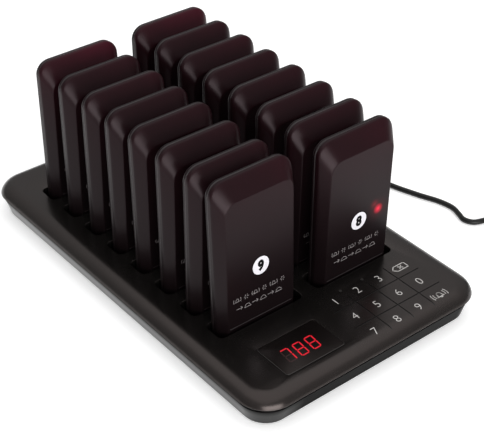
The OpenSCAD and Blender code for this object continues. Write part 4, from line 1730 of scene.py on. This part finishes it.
@dataclass
class Display:
    """The window with its three digits.

    Attributes:
        sizes: The base's sizes.
        middle: Middle of the window, across and along.
        width: The window's width.
        length: The window's length.
        corner: The window's corner radius.
        thickness: The window's thickness.
        play: The gap all round the window.
        bevel: Inset of the steps of its worn edge, and their height over the panel.
        digit_middle: Middle of the three digits.
        digit_pitch: Distance from digit to digit.
        digit_size: Width and height of a digit.
        bar: Width of a segment.
        bar_gap: How much shorter a segment is than its side.
        slant: How far a digit's top leans over its foot, as a share.
        lift: Height of the digits over the panel.
        shown: The number that is shown.
        lit: The segments that are lit for each digit.
    """

    sizes: BaseSizes
    middle: Pair = (-35.2, -111.5)
    width: float = 42.0
    length: float = 27.0
    corner: float = 2.2
    thickness: float = 1.4
    play: float = 0.15
    # bevel: Inset of the steps of its rounded edge, and their height over the panel; the edge is painted
    # lighter as a highlight.
    bevel: Sequence[Pair] = ((0.0, -0.16), (0.07, -0.05), (0.2, 0.01), (0.45, 0.04))
    digit_middle: Pair = (-36.5, -112.6)
    digit_pitch: float = 8.6
    digit_size: Pair = (4.9, 10.0)
    bar: float = 0.85
    bar_gap: float = 0.35
    slant: float = 0.085
    lift: float = 0.03
    shown: str = "788"
    lit: dict[str, str] = field(default_factory=lambda: {"7": "abc", "8": "abcdefg"})

    def opening(self, play: float = 0.0) -> Section:
        """Returns the outline of the window's recess, or of the window with its play."""
        return Section(self.width, self.length, self.corner, 0.0, *self.middle).inset(play, 0.0)

    def segments(self) -> dict[str, tuple[float, float, bool]]:
        """Returns each segment's middle in its digit, and whether it stands."""
        half_w, half_h = self.digit_size[0] / 2, self.digit_size[1] / 2
        return {
            "a": (0.0, half_h, False), "b": (half_w, half_h / 2, True), "c": (half_w, -half_h / 2, True),
            "d": (0.0, -half_h, False), "e": (-half_w, -half_h / 2, True), "f": (-half_w, half_h / 2, True),
            "g": (0.0, 0.0, False),
        }

    def make_digits(self) -> None:
        """Makes the lit and the unlit segments."""
        lean = Matrix(((1, self.slant, 0, 0), (0, 1, 0, 0), (0, 0, 1, 0), (0, 0, 0, 1)))
        tip, glass = 0.42 * self.bar, 0.04
        form = Form(1)
        for number, digit in enumerate(self.shown):
            x0, y0 = self.digit_middle[0] + (number - 1) * self.digit_pitch, self.digit_middle[1]
            for name, (x, y, stands) in self.segments().items():
                long = (self.digit_size[1] / 2 if stands else self.digit_size[0]) - self.bar_gap
                size = (self.bar, long) if stands else (long, self.bar)
                part = Form(1).slab(Section(*size, tip, 0.0, x, y), glass)
                part.turn(moved(x0, y0, self.sizes.top + self.lift) @ lean)
                form.add(part.mesh("segment"), 0 if name in self.lit[digit] else 1)
        Piece("display_digits", BASE, [SEGMENT_ON, SEGMENT_OFF]).publish(form)

    def make_window(self) -> None:
        """Makes the polished window and its rounded edge, painted lighter as a highlight."""
        full, top = self.opening(self.play), self.sizes.top
        levels = [(0.0, 0.1 - self.thickness), *self.bevel]
        form = Form(6).block([full.inset(inset, top + over) for inset, over in levels])
        # Painted highlight: the edge's faces take the lighter rim colour.
        for face in form.bm.faces:
            if face.normal.z < 0.99 and face.calc_center_median().z > (top + self.bevel[0][1]) * MM:
                face.material_index = 1
        finishes = [WINDOW_GLASS, WINDOW_EDGE_HIGHLIGHT]
        Piece("window", BASE, finishes, "window_dark_red", ["display_window"]).publish(form)

    def build(self) -> None:
        """Makes the window and its digits."""
        self.make_window()
        self.make_digits()


@dataclass
class Shells:
    """The two base shells and the feet.

    Attributes:
        sizes: The base's sizes.
        keypad: The keypad, whose grooves the top shell gets.
        display: The display, whose window is let into the top shell.
        mouth: Radius of the rounded mouth of a slot.
        fine_mouth: The same of the window's recess and of a light's.
        shoulder_start: The angle at which the shoulder leaves the rim, in degrees.
        rim_foot: Height of the short upright band below the shoulder.
        crease: How far the crease under the rim lies in, and its height.
        low_round: Radius of the lower shell's lowest edge.
        light_play: The gap round a status light.
        screw_inset: How far the case screws lie in from the sides.
        front_screw: How far the foremost ones lie in from the front.
        screw_recess: Width and depth of a screw's recess.
        foot_place: How far a foot lies in from the sides and from the ends.
        foot_dish: Depth of the dish in a foot.
    """

    sizes: BaseSizes
    keypad: Keypad
    display: Display
    mouth: float = 0.6
    fine_mouth: Pair = (0.12, 0.1)
    shoulder_start: float = 16.0
    rim_foot: float = 0.3
    crease: Pair = (3.2, 1.9)
    low_round: float = 0.8
    light_play: float = 0.08
    screw_inset: float = 13.0
    front_screw: float = 41.5
    screw_recess: Pair = (6.2, 2.2)
    foot_place: Pair = (19.0, 16.5)
    foot_dish: float = 0.12

    def shoulder(self, steps: int = 18) -> list[Section]:
        """Returns the outlines from inside the rim up over the shoulder."""
        s = self.sizes
        drop = s.shoulder_drop + s.rim_band
        low = s.top - drop
        start = math.radians(self.shoulder_start)
        reach, foot = s.shoulder_reach / math.cos(start), self.rim_foot
        levels = [(s.wall, low + 2.0), (s.wall, low), (0.35, low), (0.1, low + 0.1)]
        for i in range(steps + 1):
            a = start + (math.pi / 2 - start) * i / steps
            share = (math.sin(a) - math.sin(start)) / (1 - math.sin(start))
            levels.append((s.shoulder_reach - reach * math.cos(a), low + foot + (drop - foot) * share))
        return [s.outline(inset, z) for inset, z in levels]

    def sink(self, form: Form, opening: Section, mouth: float, floor: float) -> None:
        """Sinks a well with a rounded mouth.

        Args:
            form: The top shell.
            opening: The well's outline.
            mouth: Radius of its mouth.
            floor: Height of its floor.
        """
        top = self.sizes.top
        levels = [
            opening.inset(-mouth * (1 - math.sin(a)), top - mouth * (1 - math.cos(a))) for a in quarter(4)
        ]
        form.loft([*levels, opening.inset(0.0, floor)], end_cap=True)

    def make_top(self) -> None:
        """Makes the top shell, its wells, its window recess and its grooves."""
        s = self.sizes
        form = Form(10)
        form.loft(self.shoulder())
        form.corner_steps = 5
        for side in (-1, 1):
            for row in range(s.rows):
                place = (side * s.column, s.slot_y(row))
                slot = Section(s.slot_width, s.slot_depth, s.slot_corner, 0.0, *place)
                self.sink(form, slot, self.mouth, s.well_floor)
        self.sink(form, self.display.opening(), self.fine_mouth[0], s.top - self.display.thickness)
        for spot in self.keypad.lights():
            light = disc(2 * (self.keypad.light_radius + self.light_play), 0.0, spot)
            self.sink(form, light, self.fine_mouth[1], s.top - 1.0)
        form.fill_level(s.top)
        form.face_out(UP)
        self.keypad.cut_grooves(form)
        form.face_out(UP)
        finishes = [TOP_SATIN, GROOVE_BLACK]
        piece = Piece("top_case", BASE, finishes, "shell_satin_black", ["top_shell"], sharp=38.0)
        piece.publish(form)

    def make_bottom(self) -> None:
        """Makes the lower shell with its screw recesses."""
        s = self.sizes
        top = s.top - s.shoulder_drop - s.rim_band - s.joint
        inner, (deep, high) = s.lower_step + s.wall, self.crease
        levels = [(inner, top - 3.0), (inner, top), (deep, top)]
        levels += [(deep, top - high), (s.lower_step + 0.4, top - high - 0.3)]
        steps, low = 6, s.foot_height + 1.0
        for i in range(1, steps):
            t = i / steps
            levels.append((s.lower_step + (s.foot_inset - s.lower_step) * t, top + (low - top) * t))
        for a in quarter(4):
            r = self.low_round
            levels.append((s.foot_inset + r * (1 - math.cos(a)), s.foot_height + r - r * math.sin(a)))
        form = Form(10)
        form.loft([s.outline(inset, z) for inset, z in levels])
        form.corner_steps = 8
        across, deep = self.screw_recess
        for spot in self.screws():
            hole = disc(across, s.foot_height, spot)
            form.loft([hole, hole.inset(0.0, s.foot_height + deep)], end_cap=True)
        form.fill_level(s.foot_height)
        form.face_out(DOWN)
        piece = Piece("lower_case", BASE, [LOWER_GLOSS], "shell_gloss_black", ["bottom_shell"], sharp=38.0)
        piece.publish(form)

    def screws(self) -> list[Pair]:
        """Returns the places of the case screws."""
        s = self.sizes
        rows = (self.front_screw - s.length / 2, s.slot_y(3.5), s.slot_y(7.5))
        return [(side * (s.width / 2 - self.screw_inset), y) for side in (-1, 1) for y in rows]

    def make_feet(self) -> None:
        """Makes the four rubber feet, each with a shallow dish."""
        s = self.sizes
        r, h, dish = s.foot_radius, s.foot_height, self.foot_dish
        profile = [(0.0, dish), (r - 2.0, dish), (r - 1.6, 0.0), (r - 0.35, 0.0), (r - 0.08, 0.12)]
        profile += [(r, 0.35), (r, h), (0.0, h)]
        form = Form()
        for x in (-1, 1):
            for y in (-1, 1):
                foot = Form()
                foot.lathe(profile, 36)
                foot.face_out(DOWN)
                in_x, in_y = self.foot_place
                foot.turn(moved(x * (s.width / 2 - in_x), y * (s.length / 2 - in_y), 0))
                form.add(foot.mesh("foot"))
        Piece("feet", BASE, [FOOT_RUBBER], "foot_rubber", ["rubber_feet"]).publish(form)

    def build(self) -> None:
        """Makes the shells and the feet."""
        self.make_top()
        self.make_bottom()
        self.make_feet()


@dataclass
class Electronics:
    """What lies inside, which keeps its CAD shape.

    Attributes:
        finishes: Each node that stays as it is, and its finish.
    """

    finishes: dict[str, Finish] = field(
        default_factory=lambda: {
            "display_module": HOUSING_BLACK,
            "panel_board": BOARD_GREEN,
            "touch_pads": PAD_FOAM,
            "status_lights": LIGHT_PIPE,
            "main_board": BOARD_GREEN,
            "radio_module": TINNED,
            "base_buzzer": BUZZER_BLACK,
            "charging_boards": BOARD_GREEN,
            "charging_pins": GOLD,
            "wire_links": WIRE_RED,
            "board_screws": SCREW_STEEL,
            "case_screws": SCREW_STEEL,
            "dc_jack": CONNECTOR_BLACK,
            "pager_08_board": BOARD_GREEN,
            "pager_08_battery": BATTERY_FOIL,
            "pager_08_motor": TINNED,
            "pager_08_buzzer": BUZZER_BLACK,
            "pager_08_lights": LAMP_RED,
            "pager_08_contacts": GOLD,
        }
    )

    def build(self) -> None:
        """Gives each kept node its finish."""
        for node, finish in self.finishes.items():
            dress(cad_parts[node], finish)
            log.info("%s keeps its shape", node)


# ---- the pagers


@dataclass
class PagerSizes:
    """A pager's sizes in millimetres, measured from the middle of its foot.

    Attributes:
        width: Its width at a quarter of its height.
        height: Its height.
        depth: Its depth.
        corner: Radius of its upper corners where the slopes start.
        case_depth: Depth of the rear case.
        seam_step: How far the case lies in from the cover.
        taper: How much further out a side is at the top than at the foot.
        slope_top: Height of the slope above the face.
        slope_soft: How softly the slopes start, as a share of their depth.
        band_top: Where the top slope starts, along Y.
        band_side: Where the side slopes start, along Y.
        face_half: Half the width of the flat face.
        face_corner: Radius of its corners there.
        face_edge: Width and depth of the rounded edge of the face.
        rim_round: Radius of the cover's edge at the seam.
        case_lip: Radius of the case's edge at the seam.
        back_round: Radius of its back edge.
        draft_height: Height up to which the face draws back to the foot.
        draft_depth: How far it draws back.
        wall: Thickness of the cover and of the case.
        rest_gap: Distance from the well's floor to the foot.
        badge_z: Height of the badge's middle.
        badge_radius: The badge's radius.
        badge_rim: Width of the ring round it.
        badge_ink: Thickness of the ring's ink and of the badge's.
        digit_height: Height of the badge's digits.
        signs_z: Height of the printed signs.
        signs_ink: Thickness of their ink and width of their lines.
        lip: Width of the fine lip where the draft starts, and what it leaves free of the face.
        contact_x: Distance of a contact from the middle.
        contact_half: Half the width of a contact and of its window in the cover.
        board: Width, thickness and height of the board.
        board_y: The board's front, along Y.
        board_z: The board's foot.
        lamp: Place of the lamp behind the face, across and up.
    """

    width: float = 54.0
    height: float = 106.0
    depth: float = 13.0
    corner: float = 9.0
    case_depth: float = 3.2
    seam_step: float = 0.25
    taper: float = 1.4
    slope_top: float = 10.5
    slope_soft: float = 0.09
    band_top: float = 1.4
    band_side: float = 0.6
    face_half: float = 23.7
    face_corner: float = 7.0
    face_edge: Pair = (0.4, 0.25)
    rim_round: float = 0.5
    case_lip: float = 0.9
    back_round: float = 2.2
    draft_height: float = 14.0
    draft_depth: float = 1.5
    wall: float = 1.5
    rest_gap: float = 0.3
    badge_z: float = 47.8
    badge_radius: float = 5.75
    badge_rim: float = 0.55
    badge_ink: Pair = (0.03, 0.06)
    digit_height: float = 6.4
    signs_z: float = 28.6
    signs_ink: Pair = (0.03, 0.34)
    lip: Pair = (0.55, 3.0)
    contact_x: float = 15.0
    contact_half: Pair = (2.5, 2.7)
    board: Point = (44.0, 1.2, 82.0)
    board_y: float = 0.6
    board_z: float = 7.0
    lamp: Pair = (15.0, 50.0)

    @property
    def front(self) -> float:
        """Returns where the face is, along Y."""
        return -self.depth / 2

    @property
    def seam(self) -> float:
        """Returns where the cover meets the case, along Y."""
        return self.depth / 2 - self.case_depth

    def half_width(self, z: float) -> float:
        """Returns half the pager's width at a height; it widens a little towards the top."""
        return self.width / 2 + self.taper * (z / self.height - 0.25)

    def slope(self, start: float, y: float) -> float:
        """Says how far a slope has drawn in.

        Args:
            start: Where the slope starts, along Y.
            y: The place along Y.

        Returns:
            0 where it starts and 1 at the face, with a soft start.
        """
        share = max((start - y) / (start - self.front), 0.0)
        return (math.hypot(share, self.slope_soft) - self.slope_soft) / (
            math.hypot(1.0, self.slope_soft) - self.slope_soft
        )


@dataclass
class Pager:
    """One pager in its slot.

    Attributes:
        number: Its number, from 1 to 16.
        lean: How far it leans back, in degrees.
        warmth: How strong the painted glow at its top is, where light shows through, from 0 to 1.
        base: The base's sizes.
        sizes: The pager's sizes.
    """

    number: int
    lean: float
    warmth: float
    base: BaseSizes
    sizes: PagerSizes

    @property
    def body(self) -> str:
        """Returns the name of the body that it is."""
        return f"pager_{self.number:02d}"

    def place(self) -> Matrix:
        """Returns the move from the pager's own frame to its slot."""
        rows = self.base.rows
        right = self.number <= rows
        row = rows - self.number if right else self.number - rows - 1
        tilt = abs(math.sin(math.radians(self.lean)))
        lift = self.sizes.rest_gap + self.sizes.depth / 2 * tilt
        x = self.base.column if right else -self.base.column
        spot = moved(x, self.base.slot_y(row), self.base.well_floor + lift)
        return spot @ turned(-self.lean, Axis.X)


@dataclass
class PagerSet:
    """The sixteen pagers.

    Attributes:
        base: The base's sizes.
        sizes: A pager's sizes.
        leans: Each pager's lean.
        warmths: Each pager's painted glow.
        warm_rise: The heights between which a pager's painted glow grows.
        warm_side: The painted glow in the middle, and what its right side has more.
        warm_least: The painted glow at the top of a pager in the shade.
        rub: Width of the edges at the seam and at the back that get a polish and a painted highlight.
        lit: The number of the pager whose lamp is on.
    """

    base: BaseSizes
    sizes: PagerSizes = field(default_factory=PagerSizes)
    leans: Sequence[float] = (
        0.2, 0.2, 0.5, 0.4, 0.4, 0.0, -0.7, -0.5, 2.4, -0.7, -0.3, 0.5, -0.4, -0.9, -0.7, -0.7,
    )
    warmths: Sequence[float] = (0.95, 0.28, 0.34, *[0.26] * 5, *[0.2] * 5, 0.30, 0.30, 1.0)
    warm_rise: Pair = (28.0, 105.0)
    warm_side: Pair = (0.62, 0.38)
    warm_least: float = 0.09
    rub: Pair = (0.45, 0.9)
    lit: int = 8

    def upright(self, inset: float, y: float) -> Section:
        """Returns an upright outline, laid flat for the loft.

        Args:
            inset: How far it is drawn in from the full outline, but for its foot.
            y: Its place along the pager's depth.

        Returns:
            The section.
        """
        s = self.sizes
        foot, top = inset, s.height - inset
        return Section(s.width - 2 * inset, top - foot, s.corner - inset, -y, 0.0, (top + foot) / 2)

    def shape_cover(self, at: Vector) -> None:
        """Draws a point of the plain slab in to the cover's slopes, and its foot back.

        Args:
            at: The point, in the pager's own frame.
        """
        s = self.sizes
        y, z = min(at.y / MM, s.seam), at.z / MM
        wide = s.half_width(z)
        top = s.height - s.slope_top * s.slope(s.band_top, y)
        half = wide - (wide - s.face_half) * s.slope(s.band_side, y)
        lip = max(1 - (s.seam - y) / s.rim_round, 0.0)
        lip = s.rim_round * (1 - math.sqrt(1 - lip * lip))
        edge = max(1 - (y - s.front) / s.face_edge[0], 0.0) ** 2 * s.face_edge[1]
        top, half = top - lip - edge, half - lip - edge
        up = max((s.band_top - y) / (s.band_top - s.front), 0.0)
        round_r = s.corner - (s.corner - s.face_corner) * up
        x, side = abs(at.x) / MM * half / (s.width / 2), math.copysign(1.0, at.x)
        z = z * top / s.height
        across, above = x - (half - round_r), z - (top - round_r)
        if across > 0 and above > 0:
            share = min(round_r / math.hypot(across, above), 1.0)
            x, z = half - round_r + across * share, top - round_r + above * share
        at.x = side * min(x, half) * MM
        at.z = max(min(z, top), lip + edge) * MM
        below = max(1 - at.z / (s.draft_height * MM), 0.0)
        at.y += s.draft_depth * MM * below * max((s.seam - at.y / MM) / (s.seam - s.front), 0.0)

    def cover_depths(self) -> list[float]:
        """Returns where the cover is cut across, along Y: closely where it is round."""
        s = self.sizes
        depths = [s.seam - s.rim_round * (1 - math.cos(math.radians(15 * i))) for i in range(7)]
        depths += [s.band_top + 1.2 - 0.3 * i for i in range(10)]
        last, steps = depths[-1], 9
        depths += [last + (s.front + s.face_edge[0] - last) * i / steps for i in range(1, steps + 1)]
        return depths + [s.front + 0.3, s.front + 0.2, s.front + 0.1, s.front]

    def cover_mesh(self) -> Mesh:
        """Makes the cover's skin, with its draft and its two contact windows."""
        s = self.sizes
        form = Form(12)
        form.loft([self.upright(0.0, y) for y in self.cover_depths()], end_cap=True)
        form.turn(turned(90, Axis.X))
        for up in (s.draft_height, 40.0, 59.0, 78.0):
            form.cut(Axis.Z, up)
        for x in (-s.contact_x, s.contact_x):
            for edge in (x - s.contact_half[1], x + s.contact_half[1]):
                form.cut(Axis.X, edge)
        for vert in form.bm.verts:
            self.shape_cover(vert.co)
        bmesh.ops.remove_doubles(form.bm, verts=form.bm.verts[:], dist=0.01 * MM)
        windows = [f for f in form.bm.faces if self._in_window(f)]
        bmesh.ops.delete(form.bm, geom=windows, context="FACES")
        form.face_out((0, -1, 0))
        return form.mesh("cover")

    def _in_window(self, face: bmesh.types.BMFace) -> bool:
        """Says whether a face of the foot lies where a contact shows."""
        at, half = face.calc_center_median() / MM, self.sizes.contact_half[1]
        return at.z < 1 and abs(abs(at.x) - self.sizes.contact_x) < half and -2.0 < at.y < 0.8

    def case_mesh(self) -> Mesh:
        """Makes the rear case's skin, with a round back edge."""
        s = self.sizes
        back, step, r, lip = s.depth / 2, s.seam_step, s.back_round, s.case_lip
        start = s.seam + 0.05
        levels = [(step + lip * (1 - math.sin(a)), start + lip * (1 - math.cos(a))) for a in quarter(4)]
        levels += [(step + r * (1 - math.cos(a)), back - r + r * math.sin(a)) for a in quarter(8)]
        form = Form(9)
        form.loft([self.upright(inset, y) for inset, y in levels], end_cap=True)
        form.turn(turned(90, Axis.X))
        for vert in form.bm.verts:
            vert.co.x *= 2 * s.half_width(vert.co.z / MM) / s.width
        form.face_out((0, 1, 0))
        return form.mesh("case")

    def inner_mesh(self) -> Mesh:
        """Makes what is inside a closed pager: its board and what is soldered to it."""
        s = self.sizes
        wide, thick, high = s.board
        behind = s.board_y - 0.05
        board, foil, gold, tin = range(4)
        parts = [
            ((-wide / 2, s.board_y, s.board_z), (wide / 2, s.board_y + thick, s.board_z + high), board),
            ((-16, s.board_y - 3.8, 14), (8, behind, 44), foil),
            ((9, s.board_y - 2.7, 63), (19, behind, 73), tin),
            ((-14, s.board_y - 3.0, 60), (-2, behind, 72), tin),
        ]
        for x in (-s.contact_x, s.contact_x):
            parts.append(((x - s.contact_half[0], -2.0, 0.0), (x + s.contact_half[0], behind, 10.0), gold))
        form = Form()
        for low, far, material in parts:
            size = [b - a for a, b in zip(low, far)]
            section = Section(size[0], size[1], 0.25, -size[2] / 2)
            part = Form(2).block([section, section.inset(0.0, size[2] / 2)])
            part.turn(moved(*((a + b) / 2 for a, b in zip(low, far))))
            form.add(part.mesh("part"), material)
        return form.mesh("inner")

    def print_mesh(self, number: int) -> Mesh:
        """Makes what is printed on a pager: its numbered badge and plain signs.

        Args:
            number: The pager's number.

        Returns:
            The mesh, in the pager's own frame.
        """
        s = self.sizes
        white, black, grey = range(3)
        form = Form()
        badges = ((s.badge_radius + s.badge_rim, black), (s.badge_radius, white))
        for (r, material), ink in zip(badges, s.badge_ink):
            badge = Form()
            badge.lathe([(0.0, 0.0), (r, 0.0), (r, ink), (0.0, ink)], 56)
            form.add(badge.face_out(UP).mesh("badge"), material)
        weight, squeeze = (0.085, 0.9) if number < 10 else (0.06, 0.72)
        digits = numeral(str(number), s.digit_height, weight, 0.04)
        digits.transform(Matrix.Scale(squeeze, 4, (1, 0, 0)))
        digits.transform(moved(0, 0, s.badge_ink[1]))
        form.add(digits, black)
        signs = self.sign_rows().turn(moved(0, s.signs_z - s.badge_z, 0))
        form.add(signs.mesh("signs"), grey)
        form.turn(moved(0, s.front - 0.005, s.badge_z) @ turned(90, Axis.X))
        return form.mesh("print")

    def sign_rows(self) -> Form:
        """Draws two rows of plain signs: ringing bells and rays, then arrows and trays."""
        ink, line = self.sizes.signs_ink
        fine = line - 0.02
        form = Form()
        for x in (-17.0, -4.0, 9.0):
            stroke(form, bell_outline(0.62, x, 3.1), line, ink, closed=True)
            for side in (0, 180):
                stroke(form, arc((x, 3.2), 2.6, side - 28, side + 28, 3), fine, ink)
            sun = (x + 6.4, 3.1)
            for degrees in range(0, 360, 60):
                stroke(form, [spoke(sun, 0.8, degrees), spoke(sun, 1.6, degrees)], fine, ink)
        for x in (-17.6, -6.4, 4.8):
            stroke(form, [(x, -3.0), (x + 4.2, -3.0)], line, ink)
            stroke(form, [(x + 3.0, -2.0), (x + 4.2, -3.0), (x + 3.0, -4.0)], line, ink)
            stroke(form, arc((x + 7.8, -3.9), 1.9, 10, 170, 6), line, ink)
            stroke(form, [(x + 5.4, -4.2), (x + 10.2, -4.2)], line, ink)
        return form

    def lip_mesh(self) -> Mesh:
        """Makes the fine lip across the face where the draft of the foot starts."""
        s = self.sizes
        wide, free = s.lip
        full = Section(2 * s.face_half - free, wide, 0.25, 0.0)
        steps = [(0.0, 0.05), (0.12, 0.14), (0.24, 0.17)]
        form = Form(3).block([full, *(full.inset(inset, z) for inset, z in steps)])
        form.turn(moved(0, s.front + 0.02, s.draft_height) @ turned(90, Axis.X))
        return form.mesh("lip")

    def warm_up(self, mesh: Mesh, strength: float) -> None:
        """Gives a mesh, in the pager's own frame, its painted glow and its edges' polish and painted
        highlight.

        Args:
            mesh: The mesh.
            strength: The painted glow at the top.
        """
        s = self.sizes
        low, high = self.warm_rise
        middle, more = self.warm_side
        seam_band, back_band = self.rub
        warmth = mesh.attributes.new("warmth", "FLOAT", "POINT")
        rim = mesh.attributes.new("rim", "FLOAT", "POINT")
        for vert, warm, rubbed in zip(mesh.vertices, warmth.data, rim.data):
            x, y, z = vert.co / MM
            # Painted glow: stronger towards the top and to the right, where light would show through.
            up = min(max((z - low) / (high - low), 0.0), 1.0)
            across = middle + more * x / (s.width / 2)
            warm.value = strength * up ** 3 * across + self.warm_least * up
            # Painted highlight, with a real polish coat, on the edges at the seam and at the back, and on
            # the whole lip.
            off_seam = min(abs(y - s.seam + 0.25), abs(y - s.seam - seam_band)) / seam_band
            off_back = abs(y - s.depth / 2 + 0.7) / back_band
            on_lip = 1.0 if y < s.front - 0.02 else 0.0
            rubbed.value = max(1.0 - min(off_seam, off_back), on_lip, 0.0)

    def build(self) -> None:
        """Makes every pager."""
        shared = {
            "cover": self.cover_mesh(), "case": self.case_mesh(),
            "inner": self.inner_mesh(), "lip": self.lip_mesh(),
        }
        for number, (lean, warmth) in enumerate(zip(self.leans, self.warmths), 1):
            self.build_one(Pager(number, lean, warmth, self.base, self.sizes), shared)
        for mesh in shared.values():
            bpy.data.meshes.remove(mesh)

    def build_one(self, pager: Pager, shared: dict[str, Mesh]) -> None:
        """Makes one pager from the shared meshes.

        Args:
            pager: The pager.
            shared: The meshes that all pagers share, by name.
        """
        body, wall, smoke = pager.body, self.sizes.wall, self.smoke(pager)
        tint, nodes = "pager_smoked_cover", {part: [f"{body}_{part}"] for part in ("cover", "case")}
        pieces = {
            "cover": Piece(f"{body}_shell", body, [smoke], tint, nodes["cover"], wall, sharp=16.0),
            "case": Piece(f"{body}_back", body, [CASE_SMOKE], "pager_case_black", nodes["case"], wall),
            "lip": Piece(f"{body}_lip", body, [smoke], tint),
        }
        if pager.number != self.lit:
            pieces["inner"] = Piece(f"{body}_inner", body, [BOARD_GREEN, BATTERY_FOIL, GOLD, TINNED])
        for name, piece in pieces.items():
            mesh = shared[name].copy()
            if name != "inner":
                self.warm_up(mesh, pager.warmth)
            mesh.transform(pager.place())
            piece.publish(mesh)
        printed = self.print_mesh(pager.number)
        printed.transform(pager.place())
        Piece(f"{body}_print", body, [BADGE_WHITE, BADGE_BLACK, SIGN_GREY]).publish(printed)

    def smoke(self, pager: Pager) -> SmokedPlastic:
        """Returns a pager's smoked finish, with the lamp's glow where it is lit."""
        if pager.number != self.lit:
            return COVER_SMOKE
        x, z = self.sizes.lamp
        spot = pager.place() @ Vector((x * MM, self.sizes.front * MM, z * MM))
        return replace(COVER_SMOKE, name="pager_smoke_lit", lamp=tuple(spot))


def main() -> None:
    """Builds the studio and every sub-assembly, in order."""
    logging.basicConfig(level=logging.INFO, format="%(name)s: %(message)s")
    studio = Studio()
    studio.set_camera()
    PowerLead().build()
    studio.set_floor()
    studio.set_lights()
    sizes = BaseSizes()
    keypad, display = Keypad(sizes), Display(sizes)
    Shells(sizes, keypad, display).build()
    keypad.build()
    display.build()
    Electronics().build()
    PagerSet(sizes).build()


if __name__ == "__main__":
    main()
